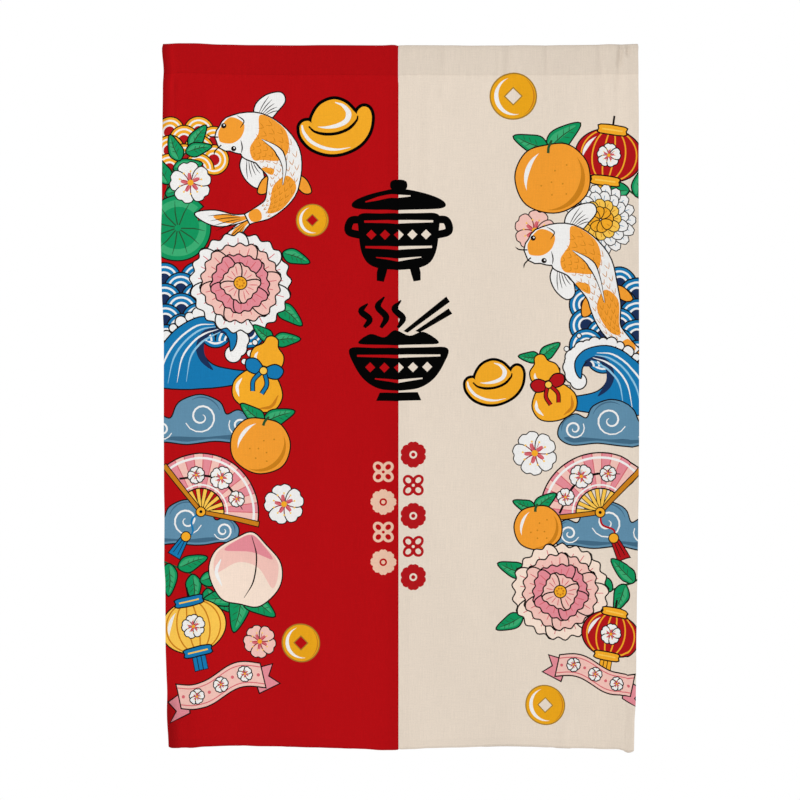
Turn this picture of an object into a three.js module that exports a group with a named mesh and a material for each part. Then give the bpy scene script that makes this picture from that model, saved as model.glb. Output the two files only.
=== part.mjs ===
// Split door curtain: two hung panels of hemmed cloth, each with an empty rod pocket at its top.
// Millimetres. +X is to the right as seen from the front, the printed front faces -Y, and +Z is up.
// The origin is at the middle of the top edge, just right of where the two panels meet.

import * as THREE from 'three';

// Driving dimensions
const CURTAIN_WIDTH = 800; // across both panels
const CURTAIN_DROP = 1184; // from the top edge to the bottom hem
const PARTING = -3.3; // where the two panels meet
const PANEL_GAP = 1; // what parts them there
const CLOTH = 1.3; // one layer of cloth
const HEM_FOLD = 1.1; // what a turned hem adds at the back
const SIDE_HEM = 18;
const BOTTOM_HEM = 15;
const HEM_STEP = 1.5; // width of the step where a hem ends
const HEM_CORNER = 5; // radius of the bottom corners
const POCKET_DROP = 51; // from the top edge to the pocket's stitch line
const POCKET_FRONT = 2.2; // how far the pocket's front layer swells forward
const POCKET_BACK = 8.8; // how far its back layer swells backward
const SEAM_GAP = 0.3; // parts a pocket from its panel

// How finely the cloth is divided
const COLUMNS = 17; // between the side hems, in a panel and its pocket alike
const PANEL_ROWS = 26; // between the bottom hem and the pocket
const POCKET_STEPS = 9; // from the fold to the stitch line, on each layer
const POCKET_CROWDING = 1.5; // draws those steps towards the fold, where the section is round

// The two panels, with the colour of their cloth
const PANELS = [
  { name: 'red', left: -CURTAIN_WIDTH / 2, right: PARTING - PANEL_GAP / 2, colour: 0xb01014 },
  { name: 'beige', left: PARTING + PANEL_GAP / 2, right: CURTAIN_WIDTH / 2, colour: 0xe2d6c6 },
];

// How far the two outer sides stand out of their straight lines, from the top down
const LEFT_SIDE = [
  { z: 0, out: -1.4 },
  { z: -8, out: 0.7 },
  { z: -44, out: -1.9 },
  { z: -72, out: -0.2 },
  { z: -130, out: 0.4 },
  { z: -260, out: 0.8 },
  { z: -330, out: 2.6 },
  { z: -395, out: 1.4 },
  { z: -500, out: -2.4 },
  { z: -630, out: -2.3 },
  { z: -740, out: -2.6 },
  { z: -800, out: -3.5 },
  { z: -870, out: -3 },
  { z: -910, out: -5 },
  { z: -1000, out: -5.2 },
  { z: -1090, out: -7.4 },
  { z: -1125, out: -6.8 },
  { z: -1184, out: -9.6 },
];
const RIGHT_SIDE = [
  { z: 0, out: 0.6 },
  { z: -6, out: 1.4 },
  { z: -14, out: 0.8 },
  { z: -50, out: 1.2 },
  { z: -130, out: 1.6 },
  { z: -220, out: 1.2 },
  { z: -330, out: 1.5 },
  { z: -460, out: 1.9 },
  { z: -640, out: 2 },
  { z: -730, out: 1.4 },
  { z: -800, out: 0.4 },
  { z: -870, out: -0.4 },
  { z: -935, out: -2 },
  { z: -1030, out: -2.9 },
  { z: -1100, out: -3.6 },
  { z: -1140, out: -5.6 },
  { z: -1184, out: -6.3 },
];

// How far the top and bottom edges stand above their level lines, from left to right
const TOP_EDGE = [
  { x: -400, up: 1.8 },
  { x: -372, up: 2.9 },
  { x: -350, up: 2.9 },
  { x: -300, up: 0.7 },
  { x: -250, up: -0.2 },
  { x: -170, up: -0.7 },
  { x: -130, up: -0.2 },
  { x: -30, up: -0.7 },
  { x: -14, up: 0.2 },
  { x: -8, up: 0 },
  { x: -4, up: -1.4 },
  { x: -3, up: -1 },
  { x: 8, up: -0.5 },
  { x: 80, up: -0.6 },
  { x: 115, up: -1.2 },
  { x: 160, up: -1 },
  { x: 200, up: -0.5 },
  { x: 240, up: -0.9 },
  { x: 280, up: -0.3 },
  { x: 320, up: 0 },
  { x: 350, up: 1.2 },
  { x: 370, up: 0.9 },
  { x: 400, up: 1.7 },
];
const BOTTOM_EDGE = [
  { x: -400, up: 0.6 },
  { x: -362, up: 1.4 },
  { x: -335, up: 3.3 },
  { x: -280, up: 5.2 },
  { x: -235, up: 3.6 },
  { x: -190, up: 3.3 },
  { x: -150, up: 1.9 },
  { x: -110, up: 1 },
  { x: -60, up: -0.9 },
  { x: -30, up: -2.5 },
  { x: -4, up: -2.9 },
  { x: -3, up: -1.7 },
  { x: 20, up: -1 },
  { x: 50, up: 0.7 },
  { x: 90, up: 1.6 },
  { x: 170, up: 4 },
  { x: 220, up: 3.4 },
  { x: 290, up: 0.6 },
  { x: 325, up: 0.2 },
  { x: 345, up: -0.6 },
  { x: 370, up: -0.8 },
  { x: 380, up: -3 },
  { x: 388, up: -6.8 },
  { x: 400, up: -6 },
];

// Soft ridges and troughs that run down the cloth. Each goes from (xTop, zTop) to (xBottom, zBottom),
// and stands towards the viewer by its depth: a trough's depth is below zero.
const FOLDS = [
  { xTop: -362, xBottom: -372, zTop: -10, zBottom: -260, halfWidth: 26, depth: 2.6 },
  { xTop: -322, xBottom: -330, zTop: -30, zBottom: -330, halfWidth: 22, depth: -2 },
  { xTop: -240, xBottom: -262, zTop: -60, zBottom: -900, halfWidth: 70, depth: 3.4 },
  { xTop: -182, xBottom: -176, zTop: -20, zBottom: -330, halfWidth: 20, depth: -1.8 },
  { xTop: -120, xBottom: -140, zTop: -200, zBottom: -1184, halfWidth: 64, depth: -3.6 },
  { xTop: -68, xBottom: -60, zTop: -10, zBottom: -420, halfWidth: 30, depth: -2 },
  { xTop: -330, xBottom: -318, zTop: -560, zBottom: -1184, halfWidth: 52, depth: -4.2 },
  { xTop: -40, xBottom: -36, zTop: -520, zBottom: -1184, halfWidth: 36, depth: 4 },
  { xTop: 50, xBottom: 42, zTop: -30, zBottom: -330, halfWidth: 18, depth: -1.6 },
  { xTop: 76, xBottom: 74, zTop: 0, zBottom: -110, halfWidth: 17, depth: -1.2 },
  { xTop: 118, xBottom: 104, zTop: -50, zBottom: -860, halfWidth: 52, depth: 3.8 },
  { xTop: 182, xBottom: 176, zTop: 0, zBottom: -150, halfWidth: 20, depth: -1.5 },
  { xTop: 212, xBottom: 196, zTop: -180, zBottom: -1184, halfWidth: 62, depth: -4 },
  { xTop: 247, xBottom: 250, zTop: 0, zBottom: -120, halfWidth: 13, depth: -1.1 },
  { xTop: 300, xBottom: 306, zTop: -90, zBottom: -700, halfWidth: 48, depth: 3 },
  { xTop: 338, xBottom: 344, zTop: 0, zBottom: -130, halfWidth: 16, depth: -1.3 },
  { xTop: 374, xBottom: 366, zTop: 0, zBottom: -90, halfWidth: 11, depth: -1.4 },
  { xTop: 292, xBottom: 278, zTop: -1110, zBottom: -1184, halfWidth: 16, depth: -2 },
  { xTop: 352, xBottom: 346, zTop: -760, zBottom: -1184, halfWidth: 40, depth: 3.2 },
];

// Stretches of an outer side that are turned back, away from the viewer
const TURNED_SIDES = [
  { side: -1, zTop: 0, zBottom: -60, width: 20, back: 1.2 },
  { side: -1, zTop: -34, zBottom: -185, width: 24, back: 5.5 },
  { side: -1, zTop: -1060, zBottom: -1184, width: 22, back: 7 },
  { side: 1, zTop: -1090, zBottom: -1184, width: 20, back: 4.5 },
];
const FADE = 0.28; // share of a fold's length over which it rises, and over which it dies away

const smooth = (t) => THREE.MathUtils.smoothstep(t, 0, 1);
const bell = (t) => (Math.abs(t) < 1 ? Math.cos((t * Math.PI) / 2) ** 2 : 0);

// The pocket's section: round at the fold, nearly straight where its layers come together at the foot
const FOLD_POWER = 0.5;
const FOOT_POWER = 0.8;
const WIDEST_AT = FOLD_POWER / (FOLD_POWER + FOOT_POWER);
const WIDEST = WIDEST_AT ** FOLD_POWER * (1 - WIDEST_AT) ** FOOT_POWER;
const swell = (share) => (share ** FOLD_POWER * (1 - share) ** FOOT_POWER) / WIDEST;

/** Reads a column of a table at a place along it, with soft turns between its rows. */
function read(rows, along, column, place) {
  const down = rows[0][along] > rows[1][along];
  const next = rows.findIndex((row) => (down ? row[along] <= place : row[along] >= place));
  if (next < 0) return rows[rows.length - 1][column];
  if (next === 0) return rows[0][column];
  const a = rows[next - 1];
  const b = rows[next];
  return THREE.MathUtils.lerp(a[column], b[column], smooth((place - a[along]) / (b[along] - a[along])));
}

/** How strongly a fold shows at a height: it rises from its top and dies away towards its bottom. */
function strength(fold, z) {
  const share = (fold.zTop - z) / (fold.zTop - fold.zBottom);
  const rise = fold.zTop >= 0 ? 1 : smooth(share / FADE);
  const fall = fold.zBottom <= -CURTAIN_DROP ? 1 : smooth((1 - share) / FADE);
  return share < 0 || share > 1 ? 0 : rise * fall;
}

/** How far the cloth stands towards the viewer at a place on it. */
function relief(x, z) {
  let towards = 0;
  for (const fold of FOLDS) {
    const share = THREE.MathUtils.clamp((fold.zTop - z) / (fold.zTop - fold.zBottom), 0, 1);
    const ridge = THREE.MathUtils.lerp(fold.xTop, fold.xBottom, share);
    towards += fold.depth * bell((x - ridge) / fold.halfWidth) * strength(fold, z);
  }
  for (const turn of TURNED_SIDES) {
    const inside = (CURTAIN_WIDTH / 2 - turn.side * x) / turn.width;
    towards -= turn.back * smooth(1 - inside) * strength(turn, z);
  }
  return towards;
}

/** Takes a point of the flat, straight cloth to where it hangs. */
function hang(point) {
  const { x, y, z } = point;
  const down = -z / CURTAIN_DROP;
  const across = Math.abs(x) / (CURTAIN_WIDTH / 2);
  const out = x < 0 ? -read(LEFT_SIDE, 'z', 'out', z) : read(RIGHT_SIDE, 'z', 'out', z);
  const up = THREE.MathUtils.lerp(read(TOP_EDGE, 'x', 'up', x), read(BOTTOM_EDGE, 'x', 'up', x), down);
  return point.set(x + out * across ** 2, y - relief(x, z), z + up);
}

/** Moves every vertex of a geometry by a function of its place. */
function reshape(geometry, move) {
  const places = geometry.attributes.position;
  const point = new THREE.Vector3();
  for (let i = 0; i < places.count; i += 1) {
    point.fromBufferAttribute(places, i);
    move(point);
    places.setXYZ(i, point.x, point.y, point.z);
  }
  return geometry;
}

/** The grid lines between two edges: close at the hems, even between them. */
function gridLines(low, high, lowHem, highHem, count) {
  const from = low + lowHem[lowHem.length - 1];
  const to = high - highHem[highHem.length - 1];
  const even = Array.from({ length: count - 1 }, (_, i) => THREE.MathUtils.lerp(from, to, (i + 1) / count));
  return [...lowHem.map((at) => low + at), ...even, ...highHem.map((at) => high - at).reverse()];
}

/** Rounds a bottom corner: the square of cloth next to it becomes a quarter disc. */
function roundCorner(point, left, right) {
  const bottom = -CURTAIN_DROP;
  const side = point.x < (left + right) / 2 ? -1 : 1;
  const edge = side < 0 ? left : right;
  const centreX = edge - side * HEM_CORNER;
  const centreZ = bottom + HEM_CORNER;
  const a = (side * (point.x - centreX)) / HEM_CORNER;
  const b = (centreZ - point.z) / HEM_CORNER;
  if (a <= 0 || b <= 0) return;
  point.x = centreX + side * HEM_CORNER * a * Math.sqrt(1 - (b * b) / 2);
  point.z = centreZ - HEM_CORNER * b * Math.sqrt(1 - (a * a) / 2);
}

/** The grid lines that run down a panel and on up its pocket. */
function columnLines({ left, right }) {
  const sideLines = [0, HEM_CORNER / 2, HEM_CORNER, SIDE_HEM, SIDE_HEM + HEM_STEP];
  return gridLines(left, right, sideLines, sideLines, COLUMNS);
}

/** One hung panel: a thin sheet, thicker at the back along its sides and bottom, where it is hemmed. */
function panelGeometry(panel) {
  const { left, right } = panel;
  const top = -POCKET_DROP - SEAM_GAP / 2;
  const bottomLines = [0, HEM_CORNER / 2, HEM_CORNER, BOTTOM_HEM, BOTTOM_HEM + HEM_STEP];
  const columns = columnLines(panel);
  const rows = gridLines(-CURTAIN_DROP, top, bottomLines, [0], PANEL_ROWS);
  const [wide, high] = [columns.length - 1, rows.length - 1];
  const sheet = new THREE.BoxGeometry(wide, 1, high, wide, 1, high);
  return reshape(sheet, (point) => {
    const back = point.y > 0;
    point.x = columns[Math.round(point.x + wide / 2)];
    point.z = rows[Math.round(point.z + high / 2)];
    const hemmed =
      Math.min(point.x - left, right - point.x) <= SIDE_HEM || point.z + CURTAIN_DROP <= BOTTOM_HEM;
    point.y = back ? CLOTH / 2 + (hemmed ? HEM_FOLD : 0) : -CLOTH / 2;
    roundCorner(point, left, right);
    hang(point);
  });
}

/** One layer of the pocket's section, from its fold down to its foot: it swells out and comes back. */
function pocketLayer(direction, highest, lowest, reachAt) {
  return Array.from({ length: POCKET_STEPS + 1 }, (_, i) => {
    const share = (i / POCKET_STEPS) ** POCKET_CROWDING;
    return new THREE.Vector2(direction * reachAt(share), THREE.MathUtils.lerp(highest, lowest, share));
  });
}

/** A closed loop down the front layer and up the back one, with the points that they share given once. */
function pocketLoop(highest, lowest, reachOf) {
  const front = pocketLayer(-1, highest, lowest, reachOf(POCKET_FRONT));
  const back = pocketLayer(1, highest, lowest, reachOf(POCKET_BACK)).reverse();
  const pointed = back[0].distanceTo(front[POCKET_STEPS]) < CLOTH / 2;
  return [...front, ...back.slice(pointed ? 1 : 0, -1)];
}

/** One empty rod pocket: a flattened sleeve, open at both ends, closed below where it is sewn. */
function pocketGeometry(panel) {
  const outside = (depth) => (share) =>
    share < WIDEST_AT ? (depth + CLOTH) * swell(share) : depth * swell(share) + CLOTH;
  const inside = (depth) => (share) => depth * swell(share);
  const foot = -POCKET_DROP + SEAM_GAP / 2;
  const section = new THREE.Shape(pocketLoop(0, foot, outside));
  section.holes.push(new THREE.Path(pocketLoop(-CLOTH, foot + 2 * CLOTH, inside)));
  const columns = columnLines(panel);
  const wide = columns.length - 1;
  const sleeve = new THREE.ExtrudeGeometry(section, { depth: wide, steps: wide, bevelEnabled: false });
  return reshape(sleeve, (point) => {
    point.set(columns[Math.round(point.z)], point.x + CLOTH / 2, point.y);
    hang(point);
  });
}

/** Printed cloth: dull, and a little lighter or darker where the weave catches the light. */
function clothMaterial(colour) {
  return new THREE.MeshStandardMaterial({ color: colour, roughness: 0.9, metalness: 0 });
}

const curtain = new THREE.Group();
for (const panel of PANELS) {
  const cloth = clothMaterial(panel.colour);
  const sheet = new THREE.Mesh(panelGeometry(panel), cloth);
  const pocket = new THREE.Mesh(pocketGeometry(panel), cloth.clone());
  sheet.name = `${panel.name}_panel`;
  pocket.name = `${panel.name}_rod_pocket`;
  curtain.add(sheet, pocket);
}

export default curtain;
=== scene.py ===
"""Looks of a split kitchen door curtain: two hung panels of printed cloth, their stitching, and a stage.

The drawing of the print and the flat cloth are in millimetres: x to the right as seen from the front, and
s up the cloth from its fold at the top, so that s is below zero on the front and above zero on the part that
is turned over to the back. Blender's own places are in metres.
"""

import math
from collections import namedtuple

import bmesh
import bpy
import numpy as np
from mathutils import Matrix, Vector, kdtree
from mathutils.geometry import delaunay_2d_cdt


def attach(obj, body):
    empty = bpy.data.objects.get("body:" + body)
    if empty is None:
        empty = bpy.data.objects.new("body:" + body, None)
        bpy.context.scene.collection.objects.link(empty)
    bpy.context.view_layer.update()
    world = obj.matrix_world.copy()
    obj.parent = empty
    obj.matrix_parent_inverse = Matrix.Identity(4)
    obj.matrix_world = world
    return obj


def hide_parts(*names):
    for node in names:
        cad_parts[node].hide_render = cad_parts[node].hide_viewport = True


bl_info = {
    "name": "Split Door Curtain",
    "version": (1, 0, 0),
    "blender": (4, 5, 0),
    "location": "View3D > Sidebar > Curtain",
    "description": "Builds a split kitchen door curtain of printed cloth with its stitching",
    "category": "Object",
}

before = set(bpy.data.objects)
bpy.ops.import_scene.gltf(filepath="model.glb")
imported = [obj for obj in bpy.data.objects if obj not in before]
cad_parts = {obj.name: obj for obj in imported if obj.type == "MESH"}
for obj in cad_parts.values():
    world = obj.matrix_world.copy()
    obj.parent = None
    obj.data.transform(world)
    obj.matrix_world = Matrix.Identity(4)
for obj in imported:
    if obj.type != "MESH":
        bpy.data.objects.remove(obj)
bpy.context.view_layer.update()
MM = 0.001

# Sizes of the hung curtain, in millimetres
WIDTH = 800.0
DROP = 1184.0
PARTING = -3.1
PANEL_GAP = 0.4
SIDE_HEM = 18.0
BOTTOM_HEM = 15.0
POCKET_DROP = 51.0
HEM_CORNER = 3.0
HEM_TUCK = 7.5
FLAP_HEM = 7.0
FLAP_TAIL = 4.0

# The edges: how far in the cloth rounds off and how thin it gets there, how high the shaded fold at its
# foot is, how wide the step beside a hem is, and how bright the rim is beside the ground. The shade of the
# fold at the foot and the darker rim are painted into the cloth's colours.
EDGE_ROUND = 0.55
EDGE_THIN = 0.3
FOOT_FOLD = 3.0
STEP_WIDTH = 0.35
RIM_SHADE = 0.65

# Below the pocket the red panel's inner side tucks a little way behind the beige one's
TUCK_OVER = 0.9
TUCK_BACK = 1.6
TUCK_WIDTH = 13.0
TUCK_START = 6.0
TUCK_RISE = 16.0

Side = namedtuple("Side", "name left right ground tucked")
SIDES = (
    Side("red", -WIDTH / 2, PARTING - PANEL_GAP / 2, "red_ground", True),
    Side("beige", PARTING + PANEL_GAP / 2, WIDTH / 2, "beige_ground", False),
)

# How far the two outer sides stand out of their straight lines: height, out
LEFT_SIDE = (
    (0, -0.6), (-8, 0.7), (-44, -1.9), (-72, -0.2), (-130, 0.4), (-260, 0.8), (-330, 2.6), (-395, 1.4),
    (-500, -2.4), (-630, -2.3), (-740, -2.6), (-800, -3.5), (-870, -3), (-910, -5), (-1000, -5.2),
    (-1090, -7.4), (-1125, -6.8), (-1184, -9.6),
)
RIGHT_SIDE = (
    (0, 0.1), (-6, 0.7), (-14, 0.2), (-50, 0.7), (-130, 1.3), (-220, 1.1), (-330, 1.3), (-460, 1.9),
    (-640, 2), (-730, 1.4), (-800, 0.4), (-870, -0.4), (-935, -2), (-1030, -2.9), (-1100, -3.6),
    (-1140, -5.6), (-1184, -6.3),
)

# How far the top and bottom edges stand above their level lines: place across, up
TOP_EDGE = (
    (-400, 1.8), (-372, 2.9), (-350, 2.9), (-300, 0.7), (-250, -0.2), (-170, -0.7), (-130, -0.2),
    (-30, -0.7), (-14, 0.2), (-8, 0), (-4, -1.4), (-3, -1), (8, -0.5), (80, -0.6), (115, -1.2), (160, -1),
    (200, -0.5), (240, -0.9), (280, -0.3), (320, 0), (350, 1.2), (370, 0.9), (400, 1.7),
)
BOTTOM_EDGE = (
    (-400, 0.6), (-362, 1.4), (-335, 3.3), (-280, 5.2), (-235, 3.6), (-190, 3.3), (-150, 1.9), (-110, 1),
    (-60, -0.9), (-30, -2.5), (-4, -2.9), (-3, -1.7), (20, -1), (50, 0.7), (90, 1.6), (170, 4),
    (220, 3.4), (290, 0.6), (325, 0.2), (345, -0.6), (370, -0.8), (380, -3), (388, -6.8), (400, -6),
)

# Soft ridges and troughs that run down the cloth, by their heights. A trough's depth is below zero.
Fold = namedtuple("Fold", "x_top x_bottom top bottom half_width depth")
FOLDS = (
    Fold(-362, -372, -10, -260, 26, 2.6),
    Fold(-322, -330, -30, -330, 22, -2),
    Fold(-240, -262, -60, -900, 70, 3.4),
    Fold(-182, -176, -20, -330, 20, -1.8),
    Fold(-120, -140, -200, -1184, 64, -3.6),
    Fold(-68, -60, -10, -420, 30, -2),
    Fold(-330, -318, -560, -1184, 52, -4.2),
    Fold(-40, -36, -520, -1184, 36, 4),
    Fold(50, 42, -30, -330, 18, -1.6),
    Fold(76, 74, 0, -110, 17, -1.2),
    Fold(118, 104, -50, -860, 52, 3.8),
    Fold(182, 176, 0, -150, 20, -1.5),
    Fold(212, 196, -180, -1184, 62, -4),
    Fold(247, 250, 0, -120, 13, -1.1),
    Fold(300, 306, -90, -700, 48, 3),
    Fold(338, 344, 0, -130, 16, -1.3),
    Fold(374, 366, 0, -90, 11, -1.4),
    Fold(292, 278, -1110, -1184, 16, -2),
    Fold(352, 346, -760, -1184, 40, 3.2),
)

# Stretches of an outer side that are turned back, away from the viewer
Turn = namedtuple("Turn", "side top bottom width back")
TURNED_SIDES = (
    Turn(-1, 0, -60, 20, 1.2),
    Turn(-1, -34, -185, 24, 5.5),
    Turn(-1, -1060, -1184, 22, 7),
    Turn(1, -1090, -1184, 20, 4.5),
)

# The share of a fold's or a crease's length over which it fades at each end
FADE = 0.28

# Fine creases and ridges of the front layer, by their places on the flat cloth. A crease is less than zero.
CREASES = (
    Fold(74, 74, 0, -58, 6, -0.9),
    Fold(164, 167, 0, -90, 7, -1.0),
    Fold(184, 181, 0, -66, 9, -1.4),
    Fold(246, 247, 0, -56, 5, -1.0),
    Fold(336, 340, 0, -62, 10, -1.3),
    Fold(371, 367, 0, -46, 7, -3.2),
    Fold(377, 375, 3, -18, 3.5, 1.3),
    Fold(385, 382, 3, -26, 6, -3.6),
    Fold(366, 362, -46, -180, 8, -1.3),
    Fold(-384, -386, 0, -140, 6, -1.6),
    Fold(-374, -377, 0, -120, 5, 0.8),
    Fold(-382, -384, -1090, -1190, 7, -1.6),
    Fold(-250, -252, 0, -64, 6, -0.6),
    Fold(-120, -118, 0, -60, 5, -0.5),
)

# How far on each side of the fold at the top they die away
CREASE_TURN = 7.0

# From this height down, the back of the pocket follows the creases of the front that it is sewn to
SEWN_FROM = -34.0
SEWN_RISE = 12.0

# Where the cloth looks darker because it turns away from the light. A brighter line's depth is below zero.
SHADES = (
    Fold(-400, -400, 0, -170, 15, 0.3),
    Fold(-384, -384, 0, -130, 5, -0.1),
    Fold(-377, -377, -46, -150, 6, 0.09),
    Fold(-397, -396, -1090, -1190, 24, 0.36),
    Fold(-368, -366, -1100, -1190, 28, 0.07),
    Fold(372, 370, 0, -40, 8, 0.06),
    Fold(385, 382, 3, -24, 6, 0.06),
    Fold(180, 180, 0, -64, 20, 0.03),
)

# Small puckers where the pocket's seam draws the cloth in, with a pitch that drifts along the seam
PUCKER_PITCH = 17.0
PUCKER_REACH = 10.0
PUCKER_DEPTH = 0.24
PUCKER_DRIFT = 1.7
PUCKER_DRIFT_PITCH = 23.0

# The pocket's section from the foot of its front layer, over the fold, to the end of its back layer: y, z
POCKET_SECTION = (
    (0.0, -51.0), (-1.3, -42.3), (-2.1, -30.4), (-2.2, -18.4), (-1.3, -7.6), (2.6, -0.5),
    (6.9, -6.5), (9.3, -16.3), (9.6, -28.2), (6.6, -41.2), (2.2, -50.6), (2.0, -55.0),
)
SECTION_STEPS = 24


def shade_of(code):
    """A hex colour as the linear red, green and blue that Blender's colours are in."""
    parts = [int(code[i : i + 2], 16) / 255 for i in (0, 2, 4)]
    return tuple(c / 12.92 if c <= 0.04045 else ((c + 0.055) / 1.055) ** 2.4 for c in parts)


INKS = {
    "red_ground": "b20b11",
    "beige_ground": "e3d5c5",
    "outline": "17100e",
    "white": "ecebe9",
    "orange": "ee9a31",
    "gold": "f0a829",
    "pale_gold": "f6c350",
    "deep_gold": "c67d1c",
    "coin_gold": "e6a21b",
    "coin_rim": "a27b2c",
    "ingot_gold": "efa727",
    "slate": "5f8ba6",
    "deep_slate": "416780",
    "teal": "1676ad",
    "pale_teal": "8fc1dc",
    "navy": "1c2f55",
    "pink": "e08a94",
    "pale_pink": "eebfb4",
    "peach_cream": "f2dccb",
    "blush": "d2656d",
    "crimson": "a8161c",
    "green": "12915a",
    "leaf_green": "3aa870",
    "deep_green": "26502f",
    "cream": "e7bea5",
    "seal_red": "ae151a",
    "black": "010101",
}


class ClothSettings(bpy.types.PropertyGroup):
    """Sizes of the cloth and its weave."""

    thickness: bpy.props.FloatProperty(
        name="Thickness",
        description="One layer of cloth",
        default=0.8 * MM,
        min=0.2 * MM,
        unit="LENGTH",
    )
    hem_fold: bpy.props.FloatProperty(
        name="Hem Fold", description="What a turned hem adds at the back", default=0.9 * MM, unit="LENGTH"
    )
    grid: bpy.props.FloatProperty(
        name="Grid",
        description="Spacing of the cloth's own points",
        default=5.4 * MM,
        min=2 * MM,
        unit="LENGTH",
    )
    thread_pitch: bpy.props.FloatProperty(
        name="Thread Pitch", description="Spacing of the weave's threads", default=0.8 * MM, unit="LENGTH"
    )
    show_through: bpy.props.FloatProperty(
        name="Show Through",
        description="How strongly the print shows on the back of a single layer",
        default=0.6,
        min=0,
        max=1,
        subtype="FACTOR",
    )
    pocket_shade: bpy.props.FloatProperty(
        name="Pocket Shade",
        description="How bright the pocket's front looks beside one layer, which lets some light through",
        default=0.925,
        min=0.5,
        max=1,
        subtype="FACTOR",
    )
    # Painted shade: a turned hem is darkened because doubled cloth lets less light through than one layer
    hem_shade: bpy.props.FloatProperty(
        name="Hem Shade",
        description="How bright a turned hem looks beside one layer",
        default=0.985,
        min=0.5,
        max=1,
        subtype="FACTOR",
    )
    foot_shade: bpy.props.FloatProperty(
        name="Foot Shade",
        description="How bright the fold at the foot of the bottom hem looks",
        default=0.9,
        min=0.5,
        max=1,
        subtype="FACTOR",
    )


class InkSettings(bpy.types.PropertyGroup):
    """The colours of the cloth and its print."""

    __annotations__ = {
        name: bpy.props.FloatVectorProperty(
            name=name.replace("_", " ").title(),
            description=f"Colour of the {name.replace('_', ' ')}",
            default=shade_of(code),
            subtype="COLOR",
            min=0,
            max=1,
        )
        for name, code in INKS.items()
    }


class StitchSettings(bpy.types.PropertyGroup):
    """Sizes of the sewing: full stitches on the pocket and the hems' backs, small ones on their fronts."""

    pitch: bpy.props.FloatProperty(
        name="Stitch Pitch", description="From one stitch to the next", default=3.1 * MM, unit="LENGTH"
    )
    length: bpy.props.FloatProperty(
        name="Stitch Length", description="Length of a full stitch", default=2.5 * MM, unit="LENGTH"
    )
    thread: bpy.props.FloatProperty(
        name="Thread", description="Diameter of the sewing thread", default=0.42 * MM, unit="LENGTH"
    )
    prick: bpy.props.FloatProperty(
        name="Prick Length", description="Length of a small stitch", default=0.8 * MM, unit="LENGTH"
    )
    prick_thread: bpy.props.FloatProperty(
        name="Prick Width", description="How wide a small stitch shows", default=0.26 * MM, unit="LENGTH"
    )


# The shape of the hung cloth


def smooth(t):
    """A soft step from 0 to 1."""
    t = np.clip(t, 0, 1)
    return t * t * (3 - 2 * t)


def read(rows, place):
    """Reads a table of (place, value) rows with soft turns between them."""
    at, value = np.array(sorted(rows), float).T
    i = np.clip(np.searchsorted(at, place) - 1, 0, len(at) - 2)
    return value[i] + (value[i + 1] - value[i]) * smooth((place - at[i]) / (at[i + 1] - at[i]))


def faded(top, bottom, place, end):
    """How strongly a fold shows along its length: it fades at its ends, but not at those of the cloth."""
    share = (top - place) / (top - bottom)
    rise = 1 if top >= 0 else smooth(share / FADE)
    fall = 1 if bottom <= end else smooth((1 - share) / FADE)
    return np.where((share > 1) | ((share < 0) & (top < 0)), 0, rise * fall)


def ridge(fold, x, place, end):
    """How strongly a fold shows at each place: most on its line, and less sideways and towards its ends."""
    share = np.clip((fold.top - place) / (fold.top - fold.bottom), 0, 1)
    off = np.abs(x - fold.x_top - (fold.x_bottom - fold.x_top) * share) / fold.half_width
    return np.cos(np.minimum(off, 1) * math.pi / 2) ** 2 * faded(fold.top, fold.bottom, place, end)


def relief(x, z):
    """How far the folds stand towards the viewer."""
    towards = sum(fold.depth * ridge(fold, x, z, -DROP) for fold in FOLDS)
    for turn in TURNED_SIDES:
        inwards = (WIDTH / 2 - turn.side * x) / turn.width
        towards -= turn.back * smooth(1 - inwards) * faded(turn.top, turn.bottom, z, -DROP)
    return towards


def brightness(x, s):
    """How bright the printed side looks beside cloth that faces the light."""
    bright = np.ones_like(x)
    for shade in SHADES:
        bright *= 1 - shade.depth * ridge(shade, x, s, BOTTOM)
    return bright


def creases(x, s, z):
    """How far creases and puckers stand towards the viewer, on the front layer and the back one's foot."""
    level = np.where(s > 0, z, s)
    towards = sum(crease.depth * ridge(crease, x, level, BOTTOM) for crease in CREASES)
    near = np.exp(-((level - SEAM) / PUCKER_REACH) ** 2)
    wave = np.sin(2 * math.pi * x / PUCKER_PITCH + PUCKER_DRIFT * np.sin(x / PUCKER_DRIFT_PITCH))
    towards += PUCKER_DEPTH * near * wave
    front = smooth((CREASE_TURN - s) / (2 * CREASE_TURN))
    foot = smooth((SEWN_FROM - z) / SEWN_RISE) * (s > 0)
    return towards * np.maximum(front, foot)


def soft_line(points, per=6):
    """A smooth open line through its points."""
    p = np.array(points, float)
    ends = np.vstack([2 * p[0] - p[1], p, 2 * p[-1] - p[-2]])
    t = np.linspace(0, 1, per, endpoint=False)[:, None]
    runs = []
    for a, b, c, d in zip(ends, ends[1:], ends[2:], ends[3:]):
        square, cube = 2 * a - 5 * b + 4 * c - d, 3 * b - a - 3 * c + d
        runs.append(0.5 * (2 * b + (c - a) * t + square * t**2 + cube * t**3))
    return np.vstack([*runs, p[-1:]])


def soft_loop(points, per=6):
    """A smooth closed line through its points."""
    p = np.array(points, float)
    return soft_line(np.vstack([p[-2:], p, p[:2]]), per)[2 * per : -(per + 1)]


SECTION = soft_line(POCKET_SECTION, SECTION_STEPS)
ALONG = np.concatenate([[0], np.cumsum(np.hypot(*np.diff(SECTION, axis=0).T))])
ALONG -= ALONG[np.argmax(SECTION[:, 1])]
SEAM = ALONG[0]
FLAP_END = ALONG[-1]
BOTTOM = SEAM - (DROP - POCKET_DROP)


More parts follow.
